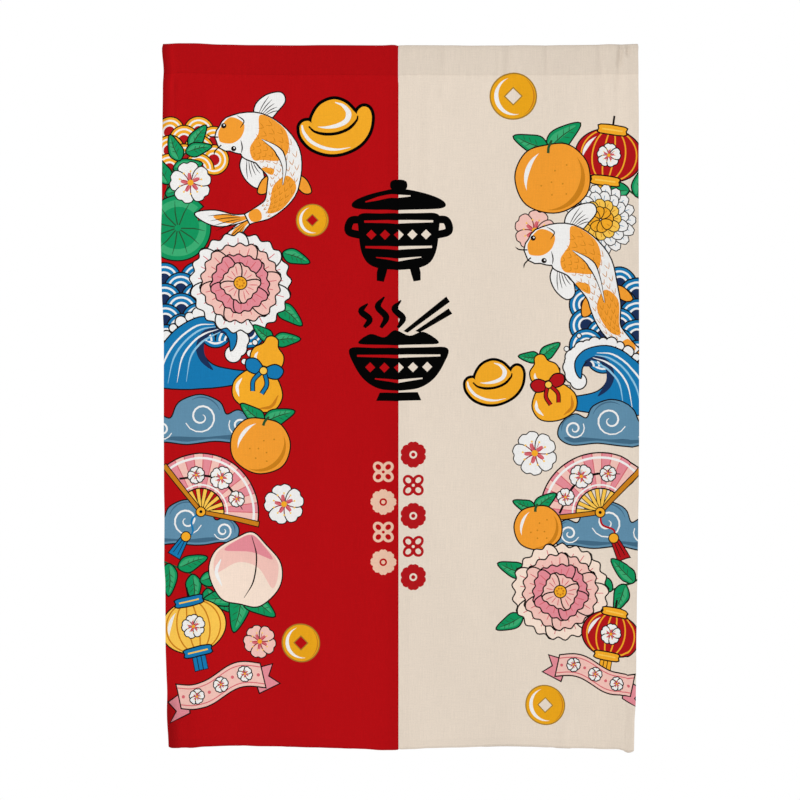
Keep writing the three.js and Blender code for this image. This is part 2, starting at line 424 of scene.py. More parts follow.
def middle(x, s):
    """Where the middle of the cloth's thickness hangs."""
    z = np.where(s < SEAM, -POCKET_DROP + s - SEAM, np.interp(s, ALONG, SECTION[:, 1]))
    y = np.where(s < SEAM, 0, np.interp(s, ALONG, SECTION[:, 0]))
    down = np.clip(-z / DROP, 0, 1)
    out = np.where(x < 0, -read(LEFT_SIDE, z), read(RIGHT_SIDE, z))
    up = read(TOP_EDGE, x) * (1 - down) + read(BOTTOM_EDGE, x) * down
    towards = relief(x, z) + creases(x, s, z)
    return np.stack([x + out * (2 * x / WIDTH) ** 2, y - towards, z + up], -1)


def across(surface, x, s):
    """The unit normal of a surface, towards its printed side."""
    step = 0.08
    sideways = surface(x + step, s) - surface(x - step, s)
    upwards = surface(x, s + step) - surface(x, s - step)
    return unit(np.cross(sideways, upwards))


class Cloth:
    """One panel's cut of cloth, from its bottom hem over the pocket's fold to the end of the flap."""

    def __init__(self, side, settings):
        self.side = side
        self.thickness = settings.thickness / MM
        self.hem = settings.hem_fold / MM

    def inwards(self, x, s):
        """How far a place is from the nearest edge of the cut."""
        sideways = np.minimum(x - self.side.left, self.side.right - x)
        return np.minimum(sideways, np.minimum(s - BOTTOM, FLAP_END - s))

    def turned(self, x, s):
        """1 where the cloth is doubled by a turned hem, 0 elsewhere, with a narrow step between."""
        sideways = np.minimum(x - self.side.left, self.side.right - x) - SIDE_HEM
        low, high = s - BOTTOM - BOTTOM_HEM, FLAP_END - s - FLAP_HEM
        beyond = np.minimum(sideways, np.minimum(low, high))
        return 1 - smooth(beyond / STEP_WIDTH + 0.5)

    def cornered(self, x, s):
        """Rounds the bottom corners: the square of cloth next to each becomes a quarter disc."""
        leftwards = x < (self.side.left + self.side.right) / 2
        way = np.where(leftwards, -1, 1)
        centre_x = np.where(leftwards, self.side.left, self.side.right) - way * HEM_CORNER
        centre_s = BOTTOM + HEM_CORNER
        a = np.clip(way * (x - centre_x) / HEM_CORNER, 0, 1)
        b = np.clip((centre_s - s) / HEM_CORNER, 0, 1)
        both = (a > 0) & (b > 0)
        round_x = centre_x + way * HEM_CORNER * a * np.sqrt(1 - b * b / 2)
        round_s = centre_s - HEM_CORNER * b * np.sqrt(1 - a * a / 2)
        return np.where(both, round_x, x), np.where(both, round_s, s)

    def hung(self, x, s):
        """Where the middle of this panel's cloth hangs, with the red one's inner side tucked back."""
        place = middle(x, s)
        if self.side.tucked:
            tuck = smooth(1 - (self.side.right - x) / TUCK_WIDTH)
            tuck *= smooth((SEAM - TUCK_START - s) / TUCK_RISE)
            place[..., 0] += TUCK_OVER * tuck
            place[..., 1] += TUCK_BACK * tuck
        return place

    def surface(self, x, s, printed=True, lift=0.0):
        """A point on the cloth's printed or plain side, or lifted off it, in millimetres."""
        turned = self.turned(x, s)
        depth = self.thickness + self.hem * turned
        near = np.clip(self.inwards(x, s) / EDGE_ROUND, 0, 1)
        thin = EDGE_THIN + (1 - EDGE_THIN) * np.sqrt(1 - (1 - near) ** 2)
        way = 1 if printed else -1
        out = way * (depth / 2 * thin + lift) - self.hem * turned / 2
        x, s = self.cornered(x, s)
        return self.hung(x, s) + across(self.hung, x, s) * out[..., None]


# Drawing the print: closed lines, filled in the order in which they are drawn

LINE = 2.2
STEP = 2.6


def oval(x, z, across_mm, high_mm=None, steps=None):
    """An upright oval by its two half sizes."""
    high_mm = across_mm if high_mm is None else high_mm
    steps = steps or max(10, int(2 * math.pi * max(across_mm, high_mm) / STEP))
    a = np.linspace(0, 2 * math.pi, steps, endpoint=False)
    return np.stack([x + across_mm * np.cos(a), z + high_mm * np.sin(a)], -1)


def arc(x, z, radius, start, end, steps=None):
    """Part of a circle, by its angles in degrees."""
    steps = steps or max(4, int(abs(end - start) / 360 * 2 * math.pi * radius / STEP))
    a = np.radians(np.linspace(start, end, steps + 1))
    return np.stack([x + radius * np.cos(a), z + radius * np.sin(a)], -1)


def band(inner, outer, start, end):
    """A curved band between two radii."""
    return np.vstack([arc(0, 0, outer, start, end), arc(0, 0, inner, start, end)[::-1]])


def crescent(radius, start, end, depth):
    """A sliver under an arc, pointed at both its ends."""
    outer = arc(0, 0, radius, start, end)
    share = np.linspace(0, 1, len(outer))
    inner = outer * (1 - depth / radius * np.sin(math.pi * share))[:, None]
    return np.vstack([outer, inner[-2:0:-1]])


def diamond(x, z, half):
    """A square on its corner."""
    return np.array([(half, 0), (0, half), (-half, 0), (0, -half)]) + (x, z)


def sized(rows, wide, high=None):
    """Points that are given as shares of a width and a height."""
    return np.array(rows, float) * (wide, wide if high is None else high)


def mirrored(rows, flip=(-1, 1)):
    """Half of a closed line, and its mirror image back to the start."""
    rows = np.array(rows, float)
    return np.vstack([rows, rows[-2:0:-1] * flip])


def turning(degrees):
    """What turns points by an angle when they are multiplied by it."""
    a = math.radians(degrees)
    return np.array([[math.cos(a), math.sin(a)], [-math.sin(a), math.cos(a)]])


def turned_by(loop, degrees):
    """A line turned about the middle of its motif."""
    return np.array(loop) @ turning(degrees)


def area_of(loop):
    """The signed area of a closed line: above zero where it runs to the left."""
    return 0.5 * np.sum(loop[:, 0] * np.roll(loop[:, 1], -1) - np.roll(loop[:, 0], -1) * loop[:, 1])


def unit(v):
    """Vectors brought to a length of 1."""
    return v / np.maximum(np.linalg.norm(v, axis=-1, keepdims=True), 1e-9)


def grown(loop, by):
    """A closed line moved outwards, with its sharp corners kept short."""
    loop = np.array(loop, float)
    before, after = unit(loop - np.roll(loop, 1, 0)), unit(np.roll(loop, -1, 0) - loop)
    sign = 1 if area_of(loop) > 0 else -1
    normal = unit(before + after)[:, ::-1] * (sign, -sign)
    edge = before[:, ::-1] * (sign, -sign)
    reach = 1 / np.clip(np.sum(normal * edge, -1), 0.6, 1)
    return loop + normal * reach[:, None] * by


def ribbon(line, widths):
    """A closed line round an open one, with a half width for each of its points or one for all."""
    line = np.array(line, float)
    normal = unit(np.gradient(line, axis=0))[:, ::-1] * (-1, 1)
    half = np.broadcast_to(np.asarray(widths, float), len(line))[:, None]
    return np.vstack([line + normal * half, (line - normal * half)[::-1]])


def swelling(line, shares, widths):
    """A ribbon whose half width changes between given shares of its length."""
    return ribbon(line, np.interp(np.linspace(0, 1, len(line)), shares, widths))


class Pen:
    """Draws a motif in its own millimetres, placed, turned, sized and mirrored as a whole."""

    def __init__(self, sheet, x, z, turn=0.0, size=1.0, mirror=False):
        self.sheet = sheet
        self.at = np.array([x, z], float)
        self.turn = turning(turn)
        self.size = np.array([-size if mirror else size, size], float)
        self.scale = size

    def fill(self, loop, ink):
        """A filled shape."""
        self.sheet.append((np.array(loop, float) * self.size @ self.turn + self.at, ink))

    def shape(self, loop, ink, line=LINE):
        """A filled shape with an outline round it."""
        self.fill(grown(loop, line / self.scale), "outline")
        self.fill(loop, ink)

    def stroke(self, line, width, ink="outline", start=0.3, end=0.3):
        """A line of one width that thins to a share of it at each end."""
        half = width / self.scale / 2
        self.fill(swelling(line, (0, 0.3, 0.7, 1), np.array([start, 1, 1, end]) * half), ink)

    def child(self, x, z, turn=0.0):
        """A pen for a smaller motif inside this one."""
        inner = Pen(self.sheet, 0, 0, turn, self.scale)
        inner.at = np.array([x, z], float) * self.size @ self.turn + self.at
        inner.turn = (inner.turn if self.size[0] > 0 else inner.turn.T) @ self.turn
        inner.size = self.size
        return inner


def coin(pen, radius):
    """A round coin with a square hole and one long shine down its left side."""
    pen.fill(oval(0, 0, radius), "coin_rim")
    pen.fill(oval(0, 0, radius * 0.94), "coin_gold")
    pen.fill(crescent(radius * 0.9, -64, 56, radius * 0.06), "deep_gold")
    pen.fill(crescent(radius * 0.8, 104, 288, radius * 0.18), "white")
    pen.fill(diamond(0, 0, radius * 0.4), "coin_rim")
    pen.fill(diamond(0, 0, radius * 0.33), "ground")


INGOT_BOAT = (
    (-57, -1), (-53, 8), (-45, 11), (-38, 8), (-24, -9), (-2, -11), (22, -3), (34, 14), (38, 28), (47, 35),
    (57, 31), (61, 16), (56, -8), (40, -28), (14, -41), (-12, -43), (-37, -34), (-53, -17),
)
INGOT_DOME = (
    (-37, 6), (-34, 22), (-22, 38), (-2, 46), (17, 41), (31, 28), (38, 16), (20, -4), (0, -11), (-24, -8),
)
INGOT_RIM = ((-42, 2), (-32, -7), (-14, -11), (6, -9), (24, -1), (36, 12), (38, 20))
INGOT_DOME_SHINE = ((1, 41), (14, 36), (23, 24), (19, 11), (4, 3), (-14, 0), (-27, 1))
INGOT_BOAT_SHINE = ((-53, 4), (-50, -8), (-38, -23), (-18, -33), (4, -36), (26, -32))
INGOT_SHINES = (
    (INGOT_DOME_SHINE, (0, 0.35, 0.7, 1), (0.6, 4.6, 3.2, 0.3)),
    (INGOT_BOAT_SHINE, (0, 0.3, 0.7, 1), (1.2, 2.8, 2.4, 0.3)),
)


def ingot(pen, line):
    """A boat-shaped ingot that rides up to its right, with a leaning dome, 124 mm across."""
    loops = [soft_loop(rows, 5) for rows in (INGOT_BOAT, INGOT_DOME)]
    for loop in loops:
        pen.fill(grown(loop, line / pen.scale), "black")
    for loop in loops:
        pen.fill(loop, "ingot_gold")
    pen.stroke(soft_line(INGOT_RIM, 5), line * 0.95, "black", 0.5, 0.4)
    for points, shares, widths in INGOT_SHINES:
        pen.fill(swelling(soft_line(points, 5), shares, widths), "white")


LEAF = ((0, 0), (0.25, 1), (0.6, 0.85), (1, 0), (0.6, -0.75), (0.25, -1))
LEAF_LIGHT = ((0.08, 0.1), (0.28, 0.78), (0.6, 0.62), (0.88, 0.06))
LEAF_RIB = ((0.04, 0), (0.5, 0.12), (0.88, 0))


def leaf(pen, length):
    """A pointed leaf that grows to the right from its stalk."""
    wide = length * 0.24
    pen.shape(soft_loop(sized(LEAF, length, wide), 5), "green")
    pen.fill(soft_loop(sized(LEAF_LIGHT, length, wide), 4), "leaf_green")
    pen.stroke(soft_line(sized(LEAF_RIB, length, wide), 4), 1.8, "deep_green")
    for share in (0.3, 0.48, 0.66):
        reach = wide * (0.62 - 0.4 * abs(share - 0.4))
        for way in (1, -1):
            vein = sized(((0, 0), (0.5, 0.55), (0.9, 1)), reach, way * reach) + (length * share, 0)
            pen.stroke(vein, 1.2, "deep_green")


SPRIG_LEAVES = 5


def sprig(pen, length):
    """A bent stem with leaves on both its sides and one at its tip."""
    stem = soft_line(sized(((0, 0), (0.4, 0.07), (0.8, 0)), length), 6)
    pen.stroke(stem, 3.4, "deep_green", 1, 0.5)
    leaf(pen.child(length * 0.74, length * 0.01, -6), length * 0.36)
    for k in range(SPRIG_LEAVES):
        share = 0.1 + 0.72 * k / (SPRIG_LEAVES - 1)
        x, z = stem[round(share * (len(stem) - 1))]
        way = 1 if k % 2 else -1
        leaf(pen.child(x, z, way * (58 - 14 * share)), length * (0.42 - 0.1 * share))


def lotus_pad(pen, radius):
    """A round floating leaf with one notch and spreading veins."""
    pen.shape(np.vstack([arc(0, 0, radius, 12, 348), [(radius * 0.1, 0)]]), "green")
    pen.fill(np.vstack([arc(0, 0, radius * 0.88, 16, 344), [(radius * 0.16, 0)]]), "leaf_green")
    pen.fill(oval(0, 0, radius * 0.66), "green")
    for turn in range(36, 340, 32):
        vein = turned_by(sized(((0.1, 0), (0.5, 0.03), (0.84, 0)), radius), turn)
        pen.stroke(vein, 2, "deep_green", 1, 0.3)


PETAL = ((0.12, 0), (0.42, 0.8), (0.8, 1), (0.99, 0.45))
FRILLED_PETAL = ((0.1, 0), (0.4, 0.7), (0.74, 1), (0.92, 0.84), (0.9, 0.56), (1.0, 0.3), (0.93, 0))


def petal(reach, wide, notch):
    """One petal that grows to the right from the flower's middle, with a shallow notch at its tip."""
    return soft_loop(sized(mirrored([*PETAL, (1 - notch, 0)], (1, -1)), reach, wide), 5)


def frilled(reach, wide):
    """One broad petal with a frilled tip."""
    return soft_loop(sized(mirrored(FRILLED_PETAL, (1, -1)), reach, wide), 4)


def plum_blossom(pen, radius, ink="white"):
    """Five round petals round a ring of stamens."""
    for k in range(5):
        pen.shape(turned_by(petal(radius, radius * 0.46, 0.06), 90 + 72 * k), ink, LINE * 0.8)
    for k in range(5):
        pen.fill(turned_by(oval(radius * 0.3, 0, radius * 0.2, radius * 0.1, 10), 90 + 72 * k), "blush")
    for k in range(10):
        stamen = turned_by(sized(((0.16, 0), (0.4, 0), (0.56, 0)), radius), 36 * k + 8)
        pen.stroke(stamen, 1.1, "crimson", 0.8, 0.8)
        pen.fill(oval(*stamen[-1], radius * 0.05, steps=7), "pale_gold")
    pen.fill(oval(0, 0, radius * 0.15), "gold")


# Each ring of a peony: how many petals, how far out, how wide, the first one's turn, and which ink
PEONY_RINGS = ((7, 1.0, 0.5, 12, 0), (6, 0.78, 0.44, 40, 1), (5, 0.56, 0.36, 10, 2), (4, 0.34, 0.28, 50, 1))
PEONY_RIB = ((0.42, 0.6), (0.64, 1.1), (0.84, 1.5))


def peony(pen, radius, inks=("white", "pale_pink", "pink")):
    """A full flower in four rings of frilled petals."""
    for count, reach, wide, start, tone in PEONY_RINGS:
        for k in range(count):
            turn = start + 360 / count * k
            pen.shape(turned_by(frilled(radius * reach, radius * wide), turn), inks[tone])
            for spread in (-0.46, -0.16, 0.16, 0.46):
                rib = soft_line(sized(PEONY_RIB, radius * reach, radius * wide * spread), 3)
                pen.stroke(turned_by(rib, turn), 1.5, "blush", 0.2, 0.8)
    pen.shape(oval(0, 0, radius * 0.12), "gold", LINE * 0.8)
    for k in range(7):
        pen.fill(turned_by(oval(radius * 0.07, 0, radius * 0.024, steps=7), 360 / 7 * k), "deep_gold")


# Each ring of a chrysanthemum: how many petals, how far out, the first one's turn, its ink and its rib's ink
MUM_RINGS = (
    (18, 1.0, 0, "white", "slate"), (15, 0.8, 8, "white", "slate"), (12, 0.58, 3, "pale_gold", "deep_gold"),
    (8, 0.36, 10, "gold", "deep_gold"),
)


def mum(pen, radius):
    """A round flower of many narrow petals in four rings."""
    for count, reach, start, ink, rib_ink in MUM_RINGS:
        long = radius * reach
        for k in range(count):
            turn = start + 360 / count * k
            pen.shape(turned_by(petal(long, long * math.pi / count * 0.96, 0.0), turn), ink, LINE * 0.7)
            rib = sized(((0.6, 0), (0.74, 0), (0.88, 0)), long)
            pen.stroke(turned_by(rib, turn), 1.3, rib_ink, 0.3, 0.8)


# A carp: its spine from nose to tail, its half width along it, and its tail and fins as steps out and back
KOI_CURLED = ((-30, 76), (16, 84), (62, 56), (76, 4), (50, -44), (4, -62))
KOI_LEAPING = ((-104, 58), (-62, 84), (-8, 72), (34, 24), (64, -36), (112, -66))
KOI_GIRTH = ((0, 9), (0.04, 20), (0.12, 32), (0.28, 41), (0.45, 38), (0.65, 26), (0.85, 14), (1, 9))
KOI_TAIL = ((0, -8), (12, 18), (34, 44), (44, 76), (22, 66), (4, 44), (-5, 8))
KOI_FIN = ((0, 0), (20, -4), (40, 10), (50, 32), (38, 42), (18, 34), (2, 24))
KOI_SMALL_FIN = ((0, 0), (14, 8), (22, 28), (10, 30), (-2, 16))
KOI_PATCHES = (
    ((0.02, 0.3), (0.05, 0.9), (0.14, 0.97), (0.2, 0.5), (0.19, -0.1), (0.1, -0.4), (0.03, -0.2)),
    ((0.27, 0.97), (0.38, 0.97), (0.46, 0.6), (0.5, 0.0), (0.44, -0.7), (0.34, -0.93), (0.27, -0.5),
     (0.29, 0.2)),
    ((0.6, 0.2), (0.66, 0.9), (0.78, 0.95), (0.86, 0.4), (0.8, -0.4), (0.68, -0.6)),
    ((0.5, -0.96), (0.56, -0.97), (0.59, -0.7), (0.54, -0.5)),
    ((0.92, 0.9), (0.98, 0.8), (0.98, -0.8), (0.92, -0.9), (0.9, 0)),
)


def fish(points):
    """Gives places on a fish: t from nose to tail, k from flank to flank, 1 to -1, then out and back."""
    spine = soft_line(points, 10)
    steps = np.arange(len(spine))
    ahead = unit(np.gradient(spine, axis=0))

    def along(line, t):
        return np.stack([np.interp(t * steps[-1], steps, line[:, i]) for i in (0, 1)], -1)

    def at(t, k, out=0.0, back=0.0):
        t, k = np.asarray(t, float), np.asarray(k, float)
        way = along(ahead, t)
        reach = k * read(KOI_GIRTH, t) + np.sign(k) * out
        return along(spine, t) + way[..., ::-1] * (-1, 1) * reach[..., None] + way * back

    return at


def koi(pen, points):
    """A carp seen from above, with patches down its back."""
    at = fish(points)
    for way in (1, -1):
        pen.shape(soft_loop([at(1, way * 0.5, *row) for row in KOI_TAIL], 5), "white")
        tail = sized(KOI_TAIL, 0.62, 0.66)
        pen.fill(soft_loop([at(1, way * 0.4, *row) for row in tail], 4), "orange")
        for k in range(4):
            ray = ((2.4 * k, 10), (2 + 7 * k, 34), (4 + 9.5 * k, 58))
            pen.stroke(soft_line([at(1, way * 0.3, *row) for row in ray], 4), 1.5)
        pen.shape(soft_loop([at(0.25, way * 0.86, *row) for row in KOI_FIN], 5), "white")
        for k in range(5):
            ray = ((4, 4 + 3 * k), (22 - 2 * k, 8 + 5 * k), (38 - 5 * k, 14 + 6 * k))
            pen.stroke(soft_line([at(0.25, way * 0.9, *row) for row in ray], 3), 1.4)
        pen.shape(soft_loop([at(0.6, way * 0.84, *row) for row in KOI_SMALL_FIN], 4), "orange")
    t = np.linspace(0, 1, 34)
    pen.shape(np.vstack([at(t, np.ones(34)), at(t[::-1], -np.ones(34))]), "white")
    for rows in KOI_PATCHES:
        pen.fill(soft_loop(at(*np.array(rows).T), 5), "orange")
    for row in range(10):
        for k in range(-3, 4):
            t = 0.28 + row * 0.06 + (0.03 if k % 2 else 0)
            scale = soft_line([at(t, k * 0.25 + 0.12), at(t + 0.024, k * 0.25), at(t, k * 0.25 - 0.12)], 2)
            pen.stroke(scale, 1.3, "deep_gold", 0.5, 0.5)
    ridge = soft_line([at(0.32, 0.02), at(0.44, 0.1), at(0.54, 0.08), at(0.66, -0.02)], 5)
    pen.fill(swelling(ridge, (0, 0.4, 1), (0.8, 7.5, 0.8)), "outline")
    pen.fill(swelling(ridge, (0, 0.4, 1), (0.2, 5.2, 0.2)), "white")
    for way in (1, -1):
        pen.stroke(soft_line([at(0.17, way * 0.96), at(0.2, way * 0.62), at(0.18, way * 0.3)], 5), 2)
        pen.fill(oval(*at(0.09, way * 0.76), 4.6), "outline")
        pen.fill(oval(*(at(0.09, way * 0.76) + (1, 1.2)), 1.5, steps=7), "white")
        whisker = [at(0.02, way * 0.5), at(0.0, way * 1.2, 2, -8), at(0.0, way * 1.2, 9, -13)]
        pen.stroke(soft_line(whisker, 5), 2.2, "outline", 1, 0.2)


def spiral(radius, turns, start):
    """An inward spiral line."""
    t = np.linspace(0, 1, int(16 * turns))
    a = math.radians(start) + 2 * math.pi * turns * t
    r = radius * (1 - 0.86 * t)
    return np.stack([r * np.cos(a), r * np.sin(a)], -1)


CLOUD = (
    (-74, -16), (-80, 4), (-62, 20), (-44, 16), (-32, 38), (-2, 48), (26, 38), (36, 20), (54, 26), (74, 12),
    (78, -8), (58, -20), (20, -17), (-20, -21), (-50, -17),
)
CLOUD_FOOT = (
    (-70, -13), (-40, -10), (0, -12), (40, -9), (70, -9), (56, -17), (20, -14), (-20, -18), (-50, -14),
)


def cloud(pen):
    """A flat-footed cloud of three curls, 150 mm across."""
    pen.shape(soft_loop(CLOUD, 5), "slate")
    pen.fill(soft_loop(CLOUD_FOOT, 4), "deep_slate")
    for x, z, radius, start, way in ((-57, 0, 15, 20, -1), (0, 17, 24, 200, 1), (55, 4, 16, 150, 1)):
        pen.stroke(spiral(radius, 1.6, start) * (1, way) + (x, z), 3.2, "white", 0.5, 0.3)
    for x, z, radius, low, high in ((0, 17, 28, 20, 120), (-57, 0, 18, 100, 190), (55, 4, 19, -10, 90)):
        pen.stroke(arc(x, z, radius, low, high), 2.2, "deep_slate", 0.3, 0.3)


def scallops(pen, columns, rows, radius, ink="teal", core="navy"):
    """Overlapping scallops in rows, each of nested rings, like the scales of a wave pattern."""
    rings = ((1.06, "outline"), (0.98, ink), (0.82, "white"), (0.7, ink), (0.5, "white"), (0.38, core))
    for row in range(rows):
        shift = radius if row % 2 else 0
        for column in range(columns):
            x, z = 2 * radius * column + shift, -row * radius * 0.62
            for share, colour in rings:
                whole = row < rows - 1
                ring = oval(x, z, radius * share) if whole else arc(x, z, radius * share, 0, 180)
                pen.fill(ring, colour)


WAVE_LIP = ((-86, -40), (-74, -4), (-44, 32), (-4, 50), (34, 44), (56, 24), (56, 0), (44, -14))
WAVE_BODY = (
    (-86, -44), (-72, -6), (-42, 27), (-3, 44), (32, 38), (49, 21), (49, 3), (41, -8), (40, 8), (32, 20),
    (15, 22), (1, 10), (-2, -10), (12, -28), (42, -38), (86, -46), (40, -60), (-40, -60),
)
WAVE_HOLLOW = (
    (37, 17), (20, 28), (-1, 22), (-12, 0), (-6, -22), (12, -36), (4, -20), (0, -6), (4, 12), (17, 21),
)


def crest(pen):
    """A curling wave with a scalloped edge of foam, 170 mm across."""
    lip = soft_line(WAVE_LIP, 3)[2:]
    for more, colour in ((LINE / pen.scale, "outline"), (0, "white")):
        for k, (x, z) in enumerate(lip):
            size = 5 + 5 * smooth(k / len(lip)) + (2 if k % 2 else 0)
            pen.fill(oval(x, z, size + more), colour)
    pen.shape(soft_loop(WAVE_BODY, 5), "teal")
    pen.fill(soft_loop(WAVE_HOLLOW, 4), "navy")
    for k in range(4):
        rib = [(-72 + 14 * k, -50), (-60 + 13 * k, -14), (-38 + 11 * k, 14 - 3 * k),
               (-8 + 6 * k, 32 - 6 * k), (18 + 3 * k, 33 - 4 * k)]
        pen.stroke(soft_line(rib, 4), 3.2, "white" if k % 2 == 0 else "pale_teal", 0.2, 0.3)
    for x, z, r in ((70, -14, 5), (78, 2, 3.6), (60, -26, 4), (66, 36, 3.4), (48, 58, 3)):
        pen.shape(oval(x, z, r), "white", LINE * 0.7)


FAN_RADIUS = 92
FAN_PLEATS = 14
FAN_SWEEP = 68
FAN_BRANCH = ((-0.62, 0.3), (-0.2, 0.6), (0.2, 0.62), (0.6, 0.42))
FAN_BLOSSOMS = ((0, 0.69, 12, 0.19), (-0.4, 0.5, 50, 0.14), (0.42, 0.52, -20, 0.13))


def folding_fan(pen, cord="teal"):
    """An open folding fan that points up from its pivot, with pleats, sticks and a tasselled cord."""
    radius, inner = FAN_RADIUS, FAN_RADIUS * 0.42
    angles = np.linspace(90 - FAN_SWEEP, 90 + FAN_SWEEP, FAN_PLEATS + 1)
    pen.stroke(soft_line([(0, 0), (-6, -18), (6, -34), (0, -46)], 6), 3.4, cord, 1, 1)
    pen.shape([(-5, -46), (5, -46), (10, -80), (-10, -80)], cord, LINE * 0.8)
    for x in (-3, 3):
        pen.stroke([(x * 0.6, -50), (x, -62), (x * 1.4, -76)], 1.4, "outline", 0.8, 0.8)
    pen.shape(oval(0, -45, 7), "gold", LINE * 0.8)
    for a in angles[1:-1:2]:
        stick = turned_by([(0, -1.8), (inner, -2.8), (inner, 2.8), (0, 1.8)], a)
        pen.shape(stick, "pale_gold", 1.2)
    pen.fill(band(inner - LINE, radius + LINE, angles[0] - 2.2, angles[-1] + 2.2), "outline")
    for k in range(FAN_PLEATS):
        pen.fill(band(inner, radius, angles[k], angles[k + 1]), "pink" if k % 2 else "pale_pink")
    for a in angles[1:-1]:
        fold = [(inner, -0.5), (radius, -0.9), (radius, 0.9), (inner, 0.5)]
        pen.fill(turned_by(fold, a), "blush")
    for low, high in ((radius * 0.91, radius * 0.95), (inner + 3, inner + 5.5)):
        pen.fill(band(low, high, angles[0], angles[-1]), "white")
    for a in (angles[0] - 1.6, angles[-1] + 1.6):
        guard = [(-6, -2.6), (radius + 3, -3.6), (radius + 3, 3.6), (-6, 2.6)]
        pen.shape(turned_by(guard, a), "deep_gold", 1.6)
    pen.stroke(soft_line(sized(FAN_BRANCH, radius), 6), 4, "outline", 0.9, 0.3)
    for x, z, turn, share in FAN_BLOSSOMS:
        plum_blossom(pen.child(x * radius, z * radius, turn), radius * share)
    pen.shape(oval(0, 0, 7), "gold", LINE * 0.8)
    pen.fill(oval(0, 0, 2.6, steps=8), "outline")


TANGERINE = ((0, 0.94), (0.62, 0.82), (1.02, 0.2), (0.84, -0.6), (0, -0.96))
TANGERINE_PORES = (
    (-0.1, -0.45), (0.25, -0.2), (0.1, 0.2), (-0.35, -0.15), (0.45, 0.3), (-0.05, -0.1), (0.3, -0.5),
)
TANGERINE_STALK = ((0, 0.72), (0.04, 0.88), (0.16, 1.06))


def tangerine(pen, radius):
    """A round fruit with a dimple, a highlight and two leaves."""
    for turn, length in ((28, radius * 1.15), (150, radius * 1.0)):
        leaf(pen.child(0, radius * 0.84, turn), length)
    pen.shape(soft_loop(sized(mirrored(TANGERINE), radius), 6), "orange")
    pen.fill(crescent(radius * 0.9, -110, 32, radius * 0.15), "deep_gold")
    pen.fill(crescent(radius * 0.8, 108, 196, radius * 0.13), "white")
    for x, z in sized(TANGERINE_PORES, radius):
        pen.fill(oval(x, z, 1.5, steps=7), "deep_gold")
    pen.stroke(soft_line(sized(TANGERINE_STALK, radius), 4), 4.4, "deep_green", 1, 0.8)


PEACH = ((0, 1.14), (0.42, 0.88), (0.94, 0.42), (1.0, -0.24), (0.56, -0.84), (0, -0.9))
PEACH_FLUSH = (
    (0, 1.08), (0.4, 0.84), (0.88, 0.4), (0.84, -0.3), (0.34, 0.2), (-0.24, 0.24), (-0.84, -0.16),
    (-0.88, 0.4), (-0.4, 0.84),
)
PEACH_TIP = ((0, 1.08), (0.38, 0.84), (0.7, 0.5), (0.1, 0.6), (-0.68, 0.5), (-0.38, 0.84))
PEACH_CLEFT = ((0, 1.05), (0.24, 0.5), (0.26, -0.2), (0.08, -0.72))
PEACH_SHINE = ((-0.74, 0.24), (-0.82, -0.14), (-0.6, -0.5))


def peach(pen):
    """A peach with a flushed tip, a cleft and three leaves under it."""
    radius = 50
    for turn in (200, 268, 336):
        leaf(pen.child(0, -radius * 0.6, turn), radius * 1.12)
    pen.shape(soft_loop(sized(mirrored(PEACH), radius), 6), "peach_cream")
    pen.fill(soft_loop(sized(PEACH_FLUSH, radius), 6), "pale_pink")
    pen.fill(soft_loop(sized(PEACH_TIP, radius), 5), "pink")
    pen.stroke(soft_line(sized(PEACH_CLEFT, radius), 6), 2.4)
    pen.stroke(soft_line(sized(PEACH_SHINE, radius), 5), radius * 0.1 * pen.scale, "white", 0.2, 0.2)


LANTERN_RIM = ((-0.42, -7), (0.42, -7), (0.46, 0), (0.42, 7), (-0.42, 7), (-0.46, 0))


def lantern(pen, ink="pale_gold", rib="deep_gold", cap="teal"):
    """A round ribbed lantern with two caps and a tassel."""
    radius = 52
    wide, high = radius * 1.16, radius * 0.92
    pen.stroke([(0, radius * 1.0), (0, radius * 1.24), (0, radius * 1.4)], 3.4, "outline", 1, 1)
    top, foot = -radius, -radius * 1.56
    for x in (-8, 0, 8):
        pen.shape([(x - 3.4, top), (x + 3.4, top), (x + 3.8, foot), (x - 3.8, foot)], cap, 1.4)
    pen.shape(oval(0, 0, wide, high), ink)
    for share in (0.84, 0.5, 0.16):
        left = arc(0, 0, 1, 96, 264, 20) * (wide * share, high)
        pen.stroke(left, 2.4, rib, 1, 1)
        pen.stroke(left * (-1, 1), 2.4, rib, 1, 1)
    pen.fill(crescent(radius * 0.8, 124, 194, radius * 0.12) * (1.16, 0.92), "white")
    for z in (radius * 0.9, -radius * 0.9):
        pen.shape(soft_loop(sized(LANTERN_RIM, radius, 1) + (0, z), 3), cap)
        pen.stroke([(-radius * 0.36, z), (0, z), (radius * 0.36, z)], 2.6, "pale_gold", 1, 1)
    plum_blossom(pen.child(0, 0), radius * 0.4)


GOURD = (
    (0, 66), (9, 62), (13, 50), (26, 38), (27, 20), (13, 7), (30, -6), (43, -30), (34, -56), (0, -66),
)
GOURD_LIGHTS = (
    (((-32, -18), (-36, -34), (-28, -50)), 6, 5.5, "white"),
    (((-18, 34), (-20, 25), (-14, 16)), 5, 4, "white"),
    (((36, -28), (30, -50), (10, -60)), 6, 5, "deep_gold"),
)


